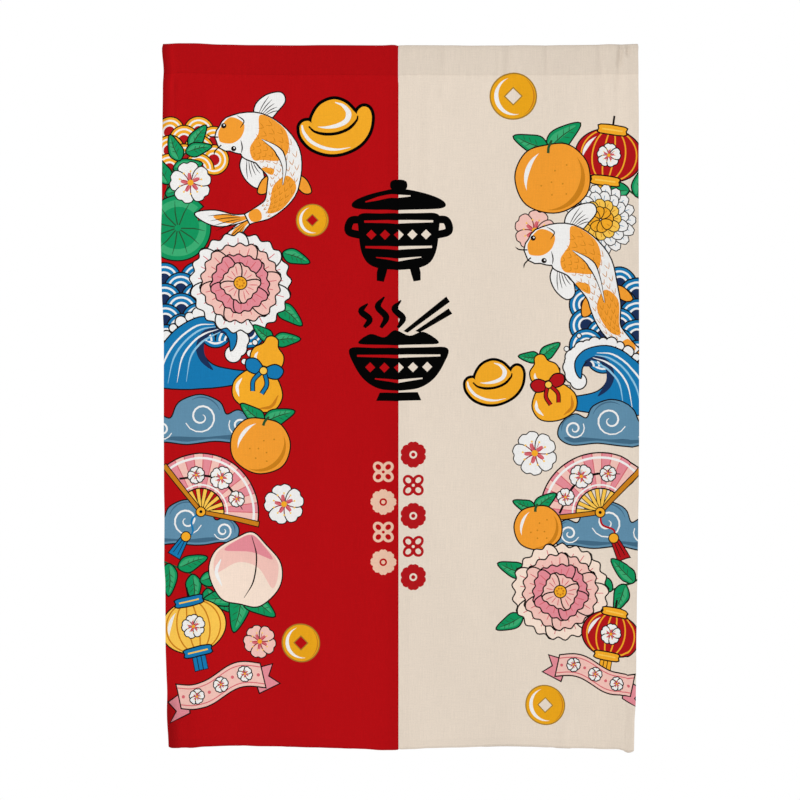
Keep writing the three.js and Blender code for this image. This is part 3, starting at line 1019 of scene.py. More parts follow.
def gourd(pen, tie="teal"):
    """A two-bellied gourd tied at its waist, 130 mm tall."""
    leaf(pen.child(2, 60, 20), 46)
    leaf(pen.child(0, 60, 158), 40)
    pen.shape(soft_loop(mirrored(GOURD), 5), "gold")
    for points, per, width, ink in GOURD_LIGHTS:
        pen.stroke(soft_line(points, per), width, ink, 0.2, 0.2)
    pen.shape(soft_loop([(-20, 11), (20, 11), (21, 5), (18, 0), (-18, 0), (-21, 5)], 4), tie)
    for way in (-1, 1):
        bow = sized(((0, 5), (16, 20), (32, 15), (28, 0), (12, -3)), way, 1)
        pen.shape(soft_loop(bow, 5), tie)
        tail = soft_line(sized(((3, 2), (12, -16), (8, -34)), way, 1), 5)
        pen.fill(ribbon(tail, 4.4), "outline")
        pen.fill(ribbon(tail, 2.6), tie)
    pen.shape(oval(0, 5, 6), "pale_gold", LINE * 0.8)


STREAMER_HALF = 66


def streamer(pen):
    """A flat waving band with forked ends and a row of small blossoms, 160 mm across."""
    def wave(x):
        return 8 * np.sin(x * math.pi / STREAMER_HALF)

    for way in (-1, 1):
        rise = 9 * way
        fork = [(way * 52, rise * 0.2 + 10), (way * 84, rise + 4), (way * 74, rise - 12),
                (way * 88, rise - 26), (way * 56, rise * 0.2 - 26)]
        pen.shape(fork, "pink")
    x = np.linspace(-STREAMER_HALF, STREAMER_HALF, 25)
    edges = [np.stack([x, wave(x) + up], -1) for up in (18, -18, 13, -13)]
    pen.shape(np.vstack([edges[0], edges[1][::-1]]), "pale_pink")
    for line in edges[2:]:
        pen.stroke(line, 1.7, "blush", 1, 1)
    for k in (-1, 0, 1):
        plum_blossom(pen.child(40 * k, wave(40 * k), 20 * k), 11)
    for k in (-1.5, -0.5, 0.5, 1.5):
        pen.fill(oval(40 * k, wave(40 * k), 2.6, steps=10), "blush")


def diamonds(pen, pitch, z):
    """A level row of five small upright diamonds that show the ground."""
    for k in range(-2, 3):
        pen.fill(diamond(k * pitch, z, 8.5), "ground")


POT_KNOB = ((-13, 70), (-13, 82), (0, 86), (13, 82), (13, 70), (0, 66))
POT_LID = (
    (-76, 38), (-74, 50), (-42, 63), (0, 70), (42, 63), (74, 50), (76, 38), (40, 35), (-40, 35),
)
POT_BODY = (
    (-66, 27), (-30, 29), (30, 29), (66, 27), (68, 4), (62, -38), (44, -60), (0, -66), (-44, -60),
    (-62, -38), (-68, 4),
)
BOWL_BODY = (
    (-82, 0), (-40, 2), (40, 2), (82, 0), (76, -26), (56, -54), (26, -68), (-26, -68), (-56, -54),
    (-76, -26),
)
BOWL_RICE = (
    (-68, 9), (-48, 25), (-24, 20), (-6, 32), (18, 22), (42, 28), (68, 9), (30, 7), (-30, 7),
)


def pot_emblem(pen):
    """A lidded cooking pot in bold strokes, 172 mm across."""
    for rows in (POT_KNOB, POT_LID):
        pen.fill(soft_loop(rows, 5), "black")
    pen.stroke(soft_line([(-56, 48), (-20, 57), (20, 58)], 5), 6, "ground", 0.3, 0.3)
    pen.fill(soft_loop(POT_BODY, 5), "black")
    for way in (-1, 1):
        grip = soft_line([(way * 62, 18), (way * 80, 16), (way * 84, -2), (way * 64, -8)], 6)
        pen.fill(ribbon(grip, 6.5), "black")
        pen.stroke([(way * 26, -60), (way * 29, -72), (way * 31, -85)], 16, "black", 1, 0.75)
    pen.stroke([(-58, 15), (0, 15), (58, 15)], 6, "ground", 0.6, 0.6)
    diamonds(pen, 23, -7)
    pen.stroke([(-56, -28), (0, -29), (56, -28)], 6, "ground", 0.6, 0.6)
    pen.stroke([(-38, -45), (0, -49), (38, -45)], 5, "ground", 0.3, 0.3)


def bowl_emblem(pen):
    """A steaming bowl with a pair of chopsticks in bold strokes, 172 mm across."""
    pen.fill(soft_loop(BOWL_BODY, 5), "black")
    pen.fill([(-32, -73), (32, -73), (38, -87), (-38, -87)], "black")
    pen.stroke([(-70, -12), (0, -12), (70, -12)], 5.5, "ground", 0.6, 0.6)
    diamonds(pen, 24, -31)
    pen.stroke([(-40, -50), (0, -54), (40, -50)], 5.5, "ground", 0.4, 0.4)
    pen.fill(soft_loop(BOWL_RICE, 5), "black")
    for shift in (0, 20):
        far = shift * 0.2
        stick = [(8 + shift, 30), (15 + shift, 27), (86 + far, 78 - shift), (80 + far, 87 - shift)]
        pen.fill(stick, "black")
    for x, high in ((-58, 40), (-30, 52), (-2, 46)):
        steam = sized(((0, 0), (9, 0.34), (-5, 0.68), (6, 1)), 1, high) + (x, 36)
        pen.stroke(soft_line(steam, 6), 11, "black", 0.5, 0.2)


def rosette(pen, radius, ink, petals):
    """A small flat flower in one ink, pierced by the ground."""
    for k in range(petals):
        wide = radius * math.sin(math.pi / petals) * 0.84
        pen.fill(turned_by(petal(radius, wide, 0.04), 90 + 360 / petals * k), ink)
    pen.fill(oval(0, 0, radius * 0.3, steps=16), "ground")
    pen.fill(oval(0, 0, radius * 0.16, steps=12), ink)


def lattice(pen, radius, ink):
    """A small square knot of four interlaced loops in one ink."""
    for k in range(4):
        turn = 90 * k + 45
        pen.fill(turned_by(oval(radius * 0.5, 0, radius * 0.48, radius * 0.42, 24), turn), ink)
        pen.fill(turned_by(oval(radius * 0.54, 0, radius * 0.24, radius * 0.2, 16), turn), "ground")
    pen.fill(diamond(0, 0, radius * 0.36), ink)
    pen.fill(oval(0, 0, radius * 0.12, steps=10), "ground")


# Each column of small ornaments: x, its first z, the step down, how many, their radius, ink and petals, and
# whether a lattice comes first
COLUMNS = ((22, -690, 51.5, 5, 22, "seal_red", 6, False), (-28.5, -718, 50.5, 4, 21.5, "cream", 8, True))


def middle_print(sheet):
    """What straddles or flanks the slit: two emblems and two columns of small ornaments."""
    pot_emblem(Pen(sheet, -2.5, -313))
    bowl_emblem(Pen(sheet, -2.5, -512))
    for x, z, step, count, radius, ink, petals, lattice_first in COLUMNS:
        for k in range(count):
            pen = Pen(sheet, x, z - step * k)
            if (k % 2 == 0) == lattice_first:
                lattice(pen, radius, ink)
            else:
                rosette(pen, radius, ink, petals)


COINS = ((190, -87.6, 40), (-147.6, -296.6, 27.5), (-168, -1009.6, 32.6), (245.6, -1114.2, 34))
INGOTS = ((-110.5, -140.5, 1.03, 5.4), (156.5, -571.6, 0.82, 4.6))


def coins_and_ingots(sheet):
    """The loose gold pieces between the emblems and the outer motifs."""
    for x, z, radius in COINS:
        coin(Pen(sheet, x, z), radius)
    for x, z, size, line in INGOTS:
        ingot(Pen(sheet, x, z, 0, size), line)


def left_print(sheet):
    """The column of motifs down the outer side of the red panel."""
    scallops(Pen(sheet, -388, -150), 2, 5, 25, "gold", "seal_red")
    sprig(Pen(sheet, -396, -262, 62), 128)
    lotus_pad(Pen(sheet, -372, -312, 30), 54)
    koi(Pen(sheet, -268, -236, 8, 0.98), KOI_CURLED)
    plum_blossom(Pen(sheet, -352, -236, 10), 34)
    leaf(Pen(sheet, -196, -352, -20), 46)
    scallops(Pen(sheet, -396, -398), 3, 7, 28)
    crest(Pen(sheet, -332, -512, 4, 1.12))
    leaf(Pen(sheet, -206, -440, -40), 52)
    peony(Pen(sheet, -268, -404, 0), 84)
    gourd(Pen(sheet, -232, -556, -16, 0.98))
    cloud(Pen(sheet, -336, -650, 0, 1.18))
    tangerine(Pen(sheet, -236, -678, -8), 48)
    cloud(Pen(sheet, -362, -822, 0, 1.1, True))
    folding_fan(Pen(sheet, -338, -790, -32, 1.06))
    plum_blossom(Pen(sheet, -196, -776, 10), 33)
    sprig(Pen(sheet, -400, -872, -36), 130)
    peach(Pen(sheet, -262, -892, -10, 1.2))
    lantern(Pen(sheet, -352, -982, 10, 0.92))
    streamer(Pen(sheet, -306, -1082, 13, 1.12))
    plum_blossom(Pen(sheet, -238, -1008, 30), 27, "pale_pink")


def right_print(sheet):
    """The column of motifs down the outer side of the beige panel, in an order of its own."""
    sprig(Pen(sheet, 404, -262, 130), 128)
    lantern(Pen(sheet, 350, -188, -8, 0.92), "seal_red", "gold", "gold")
    mum(Pen(sheet, 336, -296), 58)
    tangerine(Pen(sheet, 256, -226, 10), 60)
    plum_blossom(Pen(sheet, 226, -314, -14), 33, "pale_pink")
    scallops(Pen(sheet, 312, -404), 2, 9, 28)
    koi(Pen(sheet, 300, -432, -12, 0.98), KOI_LEAPING)
    crest(Pen(sheet, 346, -556, -4, 1.06, True))
    gourd(Pen(sheet, 250, -578, 18, 0.86), "seal_red")
    cloud(Pen(sheet, 352, -652, 0, 1.1, True))
    plum_blossom(Pen(sheet, 226, -690, 24), 36)
    cloud(Pen(sheet, 348, -824, 0, 1.12))
    folding_fan(Pen(sheet, 336, -788, 28, 1.08), "seal_red")
    tangerine(Pen(sheet, 232, -816, 10), 38)
    sprig(Pen(sheet, 402, -896, 196), 124)
    leaf(Pen(sheet, 212, -894, 160), 50)
    leaf(Pen(sheet, 206, -966, 206), 48)
    peony(Pen(sheet, 270, -922, 16), 80, ("peach_cream", "pale_pink", "pink"))
    lantern(Pen(sheet, 356, -992, -10, 0.8), "seal_red", "gold", "gold")
    streamer(Pen(sheet, 330, -1060, -12, 0.98, True))


def whole_print():
    """Every closed line of the print with its ink, in the order in which they are drawn."""
    sheet = []
    for draw in (left_print, right_print, middle_print, coins_and_ingots):
        draw(sheet)
    return sheet


# Making a panel's mesh: the flat cut is divided along every printed line, coloured, and hung


# How far a drawn line may move when points that it hardly needs are left out
SLACK = 0.14

# The cloth's own grid beside the print: how far below the seam its rows are close, their spacing below and
# above that as shares of the grid's, and how near an even point may come to a drawn line and to a named one
FINE_BELOW_SEAM = 30
PLAIN_ROWS = 1.9
POCKET_ROWS = 0.75
CLEAR_OF_PRINT = 0.24
CLEAR_OF_NAMED = 0.3


def simpler(loop):
    """A closed line without the points that lie less than a little off the rest of it."""
    kept = np.zeros(len(loop), bool)
    far = int(np.argmax(np.linalg.norm(loop - loop[0], axis=1)))
    kept[[0, far]] = True
    spans = [(0, far), (far, len(loop))]
    while spans:
        low, high = spans.pop()
        if high - low < 2:
            continue
        a, b = loop[low], loop[high % len(loop)]
        way = (b - a) / max(np.hypot(*(b - a)), 1e-9)
        rest = loop[low + 1 : high] - a
        away = np.abs(rest[:, 0] * way[1] - rest[:, 1] * way[0])
        if away.max() > SLACK:
            mid = low + 1 + int(np.argmax(away))
            kept[mid] = True
            spans += [(low, mid), (mid, high)]
    return loop[kept] if kept.sum() > 3 else loop


def inside(points, loop):
    """Which points lie inside a closed line, by its winding round them."""
    a, b = loop, np.roll(loop, -1, 0)
    x, z = points[:, :1], points[:, 1:]
    side = (b[:, 0] - a[:, 0]) * (z - a[:, 1]) - (x - a[:, 0]) * (b[:, 1] - a[:, 1])
    up = (a[:, 1] <= z) & (b[:, 1] > z) & (side > 0)
    down = (a[:, 1] > z) & (b[:, 1] <= z) & (side < 0)
    return up.sum(1) != down.sum(1)


def lines_between(low, high, pitch, extra):
    """Grid lines from low to high: even ones at a pitch, and the named ones, with no two too close."""
    even = np.linspace(low, high, max(2, round((high - low) / pitch)) + 1)
    extra = np.array(sorted(extra))
    clear = [v for v in even[1:-1] if np.min(np.abs(extra - v)) > pitch * CLEAR_OF_NAMED]
    return np.array(sorted({low, high, *extra.tolist(), *clear}))


def cut_lines(side):
    """The named lines of a panel's cut: where hems end, where the edges round off, the seam and the fold."""
    half_step = STEP_WIDTH / 2
    near_edge = (EDGE_ROUND * 0.2, EDGE_ROUND * 0.55, EDGE_ROUND)
    xs = [side.left + d for d in near_edge] + [side.right - d for d in near_edge]
    xs += [side.left + SIDE_HEM - half_step, side.left + SIDE_HEM + half_step]
    xs += [side.right - SIDE_HEM - half_step, side.right - SIDE_HEM + half_step]
    ss = [BOTTOM + d for d in near_edge] + [FLAP_END - d for d in near_edge]
    ss += [BOTTOM + FOOT_FOLD, BOTTOM + BOTTOM_HEM - half_step, BOTTOM + BOTTOM_HEM + half_step]
    ss += [FLAP_END - FLAP_HEM - half_step, FLAP_END - FLAP_HEM + half_step, SEAM, 0.0]
    ss += list(np.linspace(-9, 9, 9))
    return xs, ss


def showing(sheet):
    """For each drawn line, which of its steps from point to point no later shape covers."""
    lows = np.array([loop.min(0) for loop, _ink in sheet])
    highs = np.array([loop.max(0) for loop, _ink in sheet])
    shown = []
    for i, (loop, _ink) in enumerate(sheet):
        count = len(loop)
        probes = np.concatenate([loop, (loop + np.roll(loop, -1, 0)) / 2])
        covered = np.zeros(count, bool)
        over = ((lows < highs[i]) & (highs > lows[i])).all(1)
        over[: i + 1] = False
        for j in np.nonzero(over)[0]:
            hit = inside(probes, sheet[j][0])
            covered |= hit[:count] & np.roll(hit[:count], -1) & hit[count:]
        shown.append(~covered)
    return shown


def even_points(side, pitch, clear):
    """The grid's points that are clear of the print, and the named lines as edges across the whole cut."""
    xs, ss = cut_lines(side)
    across_lines = lines_between(side.left, side.right, pitch, xs)
    calm = SEAM - FINE_BELOW_SEAM
    up_lines = np.unique(np.concatenate([
        lines_between(BOTTOM, calm, pitch * PLAIN_ROWS, [s for s in ss if s < calm]),
        lines_between(calm, FLAP_END, pitch * POCKET_ROWS, [s for s in ss if s > calm]),
    ]))
    named_x, named_s = {side.left, side.right, *xs}, {BOTTOM, FLAP_END, *ss}
    points = [[x, s] for x in across_lines for s in up_lines if x in named_x or s in named_s or clear(x, s)]
    between = (across_lines[1:] + across_lines[:-1]) / 2
    creased = [s for s in up_lines[(up_lines > calm) & (up_lines < CREASE_TURN)] if s not in named_s]
    points += [[x, s] for x in between for s in creased if clear(x, s)]
    count = len(points)
    points += [[x, s] for x in named_x for s in (BOTTOM, FLAP_END)]
    points += [[x, s] for s in named_s for x in (side.left, side.right)]
    return points, [(i, i + 1) for i in range(count, len(points), 2)]


def divide(side, sheet, pitch):
    """Divides a panel's flat cut into triangles along its lines and the print's: its points and faces."""
    points, edges = [], []
    for (loop, _ink), shown in zip(sheet, showing(sheet)):
        used = shown | np.roll(shown, 1)
        number = len(points) + np.cumsum(used) - 1
        points += loop[used].tolist()
        edges += [(int(number[i]), int(number[(i + 1) % len(loop)])) for i in np.nonzero(shown)[0]]
    tree = kdtree.KDTree(len(points))
    for i, (x, z) in enumerate(points):
        tree.insert((x, z, 0), i)
    tree.balance()
    first = len(points)
    more, lines = even_points(side, pitch, lambda x, s: tree.find((x, s, 0))[2] > pitch * CLEAR_OF_PRINT)
    points += more
    edges += [(first + a, first + b) for a, b in lines]
    near = 1e-3
    flat, _edges, faces, *_rest = delaunay_2d_cdt([Vector(p) for p in points], edges, [], 0, near, False)
    flat, faces = np.array([tuple(p) for p in flat]), np.array(faces)
    within = (flat[:, 0] > side.left - near) & (flat[:, 0] < side.right + near)
    within &= (flat[:, 1] > BOTTOM - near) & (flat[:, 1] < FLAP_END + near)
    faces = faces[within[faces].all(1)]
    used = np.unique(faces)
    again = np.full(len(flat), -1)
    again[used] = np.arange(len(used))
    return flat[used], again[faces]


def inked(side, sheet, centres):
    """The name of the ink on top at each place, as a number into the list of names that it also gives."""
    names = [side.ground, *INKS]
    top = np.zeros(len(centres), int)
    for loop, ink in sheet:
        low, high = loop.min(0), loop.max(0)
        near = np.nonzero(((centres > low) & (centres < high)).all(1))[0]
        if len(near):
            hit = near[inside(centres[near], loop)]
            top[hit] = 0 if ink == "ground" else names.index(ink)
    return top, names


def rim_of(faces):
    """The edges that only one face has, in that face's direction."""
    edges = np.concatenate([faces[:, [0, 1]], faces[:, [1, 2]], faces[:, [2, 0]]])
    key = np.sort(edges, 1)
    _found, index, counts = np.unique(key, axis=0, return_index=True, return_counts=True)
    return edges[index[counts == 1]]


def corner_colours(cloth, sheet, flat, faces, rim_count, settings, inks):
    """The colour of each corner of a panel's printed side, plain side and rim."""
    centres = flat[faces].mean(1)
    top, names = inked(cloth.side, sheet, centres)
    colours = np.array([getattr(inks, name) for name in names])
    ground = np.array(getattr(inks, cloth.side.ground))
    hemmed = cloth.turned(*centres.T) > 0.5
    front = colours[top]
    front[centres[:, 1] > 0] = ground
    # Painted shade: the doubled hems and pocket, the fold at the foot and the rim are darkened, and the
    # places in SHADES are darkened or lightened through brightness()
    front[hemmed] *= settings.hem_shade
    front[(centres[:, 1] > SEAM) & (centres[:, 1] < 0)] *= settings.pocket_shade
    front[centres[:, 1] < BOTTOM + FOOT_FOLD] *= settings.foot_shade
    bare = np.array(inks.white)
    back = bare + (colours[top] - bare) * settings.show_through
    back[hemmed] = ground
    rim = np.broadcast_to(ground * RIM_SHADE, (rim_count, 3))
    per_face = np.concatenate([front, back, rim])
    per_corner = np.repeat(np.concatenate([per_face, np.ones((len(per_face), 1))], 1), 3, 0)
    per_corner[: faces.size, :3] *= brightness(*flat[faces.ravel()].T)[:, None]
    return per_corner.astype(np.float32)


def cloth_mesh(cloth, sheet, settings, inks):
    """One panel as a closed thin sheet: printed side, plain side and the rim between them."""
    side = cloth.side
    reach = LINE * 4
    local = [(simpler(loop), ink) for loop, ink in sheet
             if loop[:, 0].max() > side.left - reach and loop[:, 0].min() < side.right + reach]
    flat, faces = divide(side, local, settings.grid / MM)
    x, s = flat.T
    count = len(flat)
    points = np.concatenate([cloth.surface(x, s, printed) * MM for printed in (True, False)])
    plain = faces[:, ::-1] + count
    a, b = rim_of(faces).T
    rim = np.concatenate([np.stack([b, a, a + count], 1), np.stack([b, a + count, b + count], 1)])
    corners = np.concatenate([faces, plain, rim])
    mesh = bpy.data.meshes.new(f"{side.name}_cloth")
    mesh.from_pydata(points.tolist(), [], corners.tolist())
    layer = mesh.color_attributes.new("Ink", "FLOAT_COLOR", "CORNER")
    colours = corner_colours(cloth, local, flat, faces, len(rim), settings, inks)
    layer.data.foreach_set("color", colours.ravel())
    lay_out(mesh, side, flat, corners.ravel(), 2 * faces.size)

    ways = [across(lambda u, v, p=printed: cloth.surface(u, v, p), x, s) * (1 if printed else -1)
            for printed in (True, False)]
    soft_ways = np.concatenate(ways)[np.concatenate([faces, plain]).ravel()]
    edge = points[rim]
    rim_ways = unit(np.cross(edge[:, 1] - edge[:, 0], edge[:, 2] - edge[:, 0]))
    mesh.shade_smooth()
    mesh.normals_split_custom_set(np.concatenate([soft_ways, np.repeat(rim_ways, 3, 0)]).tolist())
    return mesh


# How the bake's map is shared out: its margin, the gutter between the two sides, and a rim's share of the
# margin
MAP_MARGIN = 0.008
MAP_GUTTER = 0.012
MAP_PUSH = 0.6


def lay_out(mesh, side, flat, corners, rim_start):
    """Two maps: the cut in metres for the weave, and both sides laid side by side for the bake."""
    count = len(flat)
    low = np.array([side.left, BOTTOM])
    share = (flat - low) / (np.array([side.right, FLAP_END]) - low)
    size = np.array([(1 - 2 * MAP_MARGIN - MAP_GUTTER) / 2, 1 - 2 * MAP_MARGIN])
    printed = MAP_MARGIN + share * size
    plain = printed + np.array([size[0] + MAP_GUTTER, 0])
    outwards = np.clip((share - 0.5) * 2, -1, 1)
    pushed = printed + np.where(np.abs(outwards) > 0.9999, np.sign(outwards), 0) * MAP_MARGIN * MAP_PUSH
    on_rim = np.arange(len(corners)) >= rim_start
    index = corners % count
    baked = np.where((corners < count)[:, None], printed[index], plain[index])
    baked = np.where((on_rim & (corners >= count))[:, None], pushed[index], baked)
    for name, places in (("Cut", flat[index] * MM), ("OFBake", baked)):
        layer = mesh.uv_layers.new(name=name)
        layer.data.foreach_set("uv", places.astype(np.float32).ravel())


# Materials


def socket(group, name, kind, default=None, out=False):
    """A named input or output of a node group."""
    made = group.interface.new_socket(name=name, in_out="OUTPUT" if out else "INPUT", socket_type=kind)
    if default is not None:
        made.default_value = default


def maths(tree, operation, *values):
    """A Math node fed by sockets or numbers."""
    node = tree.nodes.new("ShaderNodeMath")
    node.operation = operation
    for i, value in enumerate(values):
        if isinstance(value, (int, float)):
            node.inputs[i].default_value = value
        else:
            tree.links.new(value, node.inputs[i])
    return node.outputs[0]


def noise_at(tree, vector, scale, detail, stretch=(1, 1, 1)):
    """A Noise Texture's value on a stretched copy of a vector."""
    mapping = tree.nodes.new("ShaderNodeMapping")
    mapping.inputs["Scale"].default_value = stretch
    texture = tree.nodes.new("ShaderNodeTexNoise")
    texture.inputs["Scale"].default_value = scale
    texture.inputs["Detail"].default_value = detail
    tree.links.new(vector, mapping.inputs["Vector"])
    tree.links.new(mapping.outputs["Vector"], texture.inputs["Vector"])
    return texture.outputs["Fac"]


# The weave: its slubs' and its grain's noise scales, how far a slub is drawn out along the warp and the
# weft, the two kinds' shares, the grain's share, and how high the threads stand beside them
SLUB_SCALE = 900
GRAIN_SCALE = 420
WARP_STRETCH, WEFT_STRETCH = 0.035, 0.04
WARP_SHARE, WEFT_SHARE = 0.58, 0.42
GRAIN_SHARE = 0.5
THREAD_HEIGHT = 0.22

# How much the weave and the broad wear change the cloth's brightness
SLUB_STRENGTH = 0.55
WEAVE_TONE = 0.56
WEAR_TONE = 0.09


def weave_group():
    """Plain weave with slubs: a height for bump and a mask that lightens and darkens the cloth."""
    group = bpy.data.node_groups.get("Plain Weave")
    if group:
        return group
    group = bpy.data.node_groups.new("Plain Weave", "ShaderNodeTree")
    socket(group, "Vector", "NodeSocketVector")
    socket(group, "Pitch", "NodeSocketFloat", 0.0008)
    socket(group, "Slub", "NodeSocketFloat", 0.5)
    socket(group, "Height", "NodeSocketFloat", out=True)
    socket(group, "Tone", "NodeSocketFloat", out=True)
    start, end = group.nodes.new("NodeGroupInput"), group.nodes.new("NodeGroupOutput")
    vector = start.outputs["Vector"]
    parts = group.nodes.new("ShaderNodeSeparateXYZ")
    group.links.new(vector, parts.inputs[0])
    turn = maths(group, "DIVIDE", math.pi, start.outputs["Pitch"])
    warp = maths(group, "SINE", maths(group, "MULTIPLY", parts.outputs["X"], turn))
    weft = maths(group, "SINE", maths(group, "MULTIPLY", parts.outputs["Y"], turn))
    cross = maths(group, "MULTIPLY", warp, weft)
    long_slubs = noise_at(group, vector, SLUB_SCALE, 2, (1, WARP_STRETCH, 1))
    cross_slubs = noise_at(group, vector, SLUB_SCALE, 2, (WEFT_STRETCH, 1, 1))
    long_slubs = maths(group, "MULTIPLY", long_slubs, WARP_SHARE)
    cross_slubs = maths(group, "MULTIPLY", cross_slubs, WEFT_SHARE)
    slubs = maths(group, "SUBTRACT", maths(group, "ADD", long_slubs, cross_slubs), 0.5)
    grain = maths(group, "SUBTRACT", noise_at(group, vector, GRAIN_SCALE, 3), 0.5)
    grain = maths(group, "MULTIPLY", grain, GRAIN_SHARE)
    tone = maths(group, "MULTIPLY", maths(group, "ADD", slubs, grain), start.outputs["Slub"])
    height = maths(group, "MULTIPLY_ADD", cross, THREAD_HEIGHT, tone)
    group.links.new(height, end.inputs["Height"])
    group.links.new(tone, end.inputs["Tone"])
    return group


def new_material(name):
    """A material, its nodes and its shader."""
    material = bpy.data.materials.new(name)
    material.use_nodes = True
    return material, material.node_tree, material.node_tree.nodes["Principled BSDF"]


def bump_from(tree, shader, height, strength, distance):
    """Gives a shader the bump of a height."""
    bump = tree.nodes.new("ShaderNodeBump")
    bump.inputs["Strength"].default_value = strength
    bump.inputs["Distance"].default_value = distance
    tree.links.new(height, bump.inputs["Height"])
    tree.links.new(bump.outputs["Normal"], shader.inputs["Normal"])


def cloth_material(side, settings):
    """Printed cloth: the ink of each face, varied by the weave's slubs and by soft wear."""
    material, tree, shader = new_material(f"{side.name}_printed_cloth")
    shader.inputs["Roughness"].default_value = 0.86
    shader.inputs["Sheen Weight"].default_value = 0.01
    shader.inputs["Sheen Roughness"].default_value = 0.6
    shader.inputs["Specular IOR Level"].default_value = 0.03
    ink = tree.nodes.new("ShaderNodeVertexColor")
    ink.layer_name = "Ink"
    cut = tree.nodes.new("ShaderNodeUVMap")
    cut.uv_map = "Cut"
    weave = tree.nodes.new("ShaderNodeGroup")
    weave.node_tree = weave_group()
    weave.inputs["Pitch"].default_value = settings.thread_pitch
    weave.inputs["Slub"].default_value = SLUB_STRENGTH
    tree.links.new(cut.outputs["UV"], weave.inputs["Vector"])
    broad = noise_at(tree, cut.outputs["UV"], 9, 2, (1, 0.35, 1))
    broad = maths(tree, "MULTIPLY", maths(tree, "SUBTRACT", broad, 0.5), WEAR_TONE)
    fine = maths(tree, "MULTIPLY", weave.outputs["Tone"], WEAVE_TONE)
    value = maths(tree, "ADD", maths(tree, "ADD", broad, fine), 1.0)
    tint = tree.nodes.new("ShaderNodeMix")
    tint.data_type = "RGBA"
    tint.blend_type = "MULTIPLY"
    tint.inputs["Factor"].default_value = 1.0
    tree.links.new(ink.outputs["Color"], tint.inputs[6])
    tree.links.new(value, tint.inputs[7])
    tree.links.new(tint.outputs[2], shader.inputs["Base Color"])
    bump_from(tree, shader, weave.outputs["Height"], 0.35, 0.4 * MM)
    return material


def thread_material(side, colour):
    """Sewing thread with a faint twist."""
    material, tree, shader = new_material(f"{side.name}_thread")
    shader.inputs["Roughness"].default_value = 0.7
    shader.inputs["Specular IOR Level"].default_value = 0.05
    place = tree.nodes.new("ShaderNodeTexCoord")
    ply = noise_at(tree, place.outputs["Object"], 2600, 1)
    ramp = tree.nodes.new("ShaderNodeValToRGB")
    ramp.color_ramp.elements[0].color = (*[c * 0.78 for c in colour], 1)
    ramp.color_ramp.elements[1].color = (*[min(1, c * 1.06) for c in colour], 1)
    tree.links.new(ply, ramp.inputs["Fac"])
    tree.links.new(ramp.outputs["Color"], shader.inputs["Base Color"])
    bump_from(tree, shader, ply, 0.4, 0.1 * MM)
    return material


def plain_material(name, colour, roughness):
    """One even colour."""
    material, _tree, shader = new_material(name)
    shader.inputs["Base Color"].default_value = (*colour, 1)
    shader.inputs["Roughness"].default_value = roughness
    return material


# Stitching


def stitch_tree():
    """Geometry Nodes that lay a short round stitch at even steps along each line of sewing."""
    tree = bpy.data.node_groups.get("Lockstitch")
    if tree:
        return tree
    tree = bpy.data.node_groups.new("Lockstitch", "GeometryNodeTree")
    socket(tree, "Geometry", "NodeSocketGeometry")
    socket(tree, "Pitch", "NodeSocketFloat", 0.0031)
    socket(tree, "Length", "NodeSocketFloat", 0.0025)
    socket(tree, "Thread", "NodeSocketFloat", 0.0004)
    socket(tree, "Material", "NodeSocketMaterial")
    socket(tree, "Geometry", "NodeSocketGeometry", out=True)
    nodes = tree.nodes
    start, end = nodes.new("NodeGroupInput"), nodes.new("NodeGroupOutput")
    curve = nodes.new("GeometryNodeMeshToCurve")
    points = nodes.new("GeometryNodeCurveToPoints")
    points.mode = "LENGTH"
    bead = nodes.new("GeometryNodeMeshUVSphere")
    bead.inputs["Segments"].default_value = 6
    bead.inputs["Rings"].default_value = 4
    bead.inputs["Radius"].default_value = 0.5
    turn = nodes.new("FunctionNodeAlignRotationToVector")
    turn.axis = "Z"
    size = nodes.new("ShaderNodeCombineXYZ")
    place = nodes.new("GeometryNodeInstanceOnPoints")
    real = nodes.new("GeometryNodeRealizeInstances")
    paint = nodes.new("GeometryNodeSetMaterial")
    for source, output, target, entry in (
        (start, "Geometry", curve, "Mesh"),
        (curve, "Curve", points, "Curve"),
        (start, "Pitch", points, "Length"),
        (points, "Tangent", turn, "Vector"),
        (points, "Points", place, "Points"),
        (bead, "Mesh", place, "Instance"),
        (turn, "Rotation", place, "Rotation"),
        (start, "Thread", size, "X"),
        (start, "Thread", size, "Y"),
        (start, "Length", size, "Z"),
        (size, "Vector", place, "Scale"),
        (place, "Instances", real, "Geometry"),
        (real, "Geometry", paint, "Geometry"),
        (start, "Material", paint, "Material"),
        (paint, "Geometry", end, "Geometry"),
    ):
        tree.links.new(source.outputs[output], target.inputs[entry])
    return tree


# The sewing: how far inside a hem's inner edge its line runs, how far above the foot of the pocket, how near
# the ends of the cloth, and the steps in which it follows the cloth
HEM_INSET = 2.2
ABOVE_FOOT = 0.8
SEWN_TO = 1.5
SEWING_STEP = 2.0


def seam_lines(cloth):
    """A panel's lines of full stitches and of small ones, each with whether it is on the printed side."""
    side = cloth.side
    low = BOTTOM + BOTTOM_HEM - HEM_INSET
    sideways = np.arange(side.left + SEWN_TO, side.right - SEWN_TO, SEWING_STEP)
    upwards = np.arange(BOTTOM + SEWN_TO, SEAM - 2, SEWING_STEP)
    seam, flap, foot = (np.stack([sideways, np.full_like(sideways, s)], -1)
                        for s in (SEAM + ABOVE_FOOT, FLAP_END - FLAP_TAIL, low))
    hems = [foot]
    for x in (side.left + SIDE_HEM - HEM_INSET, side.right - SIDE_HEM + HEM_INSET):
        hems.append(np.stack([np.full_like(upwards, x), upwards], -1))
    full = [(seam, True), (flap, True), *((line, False) for line in hems)]
    return full, [(line, True) for line in hems]


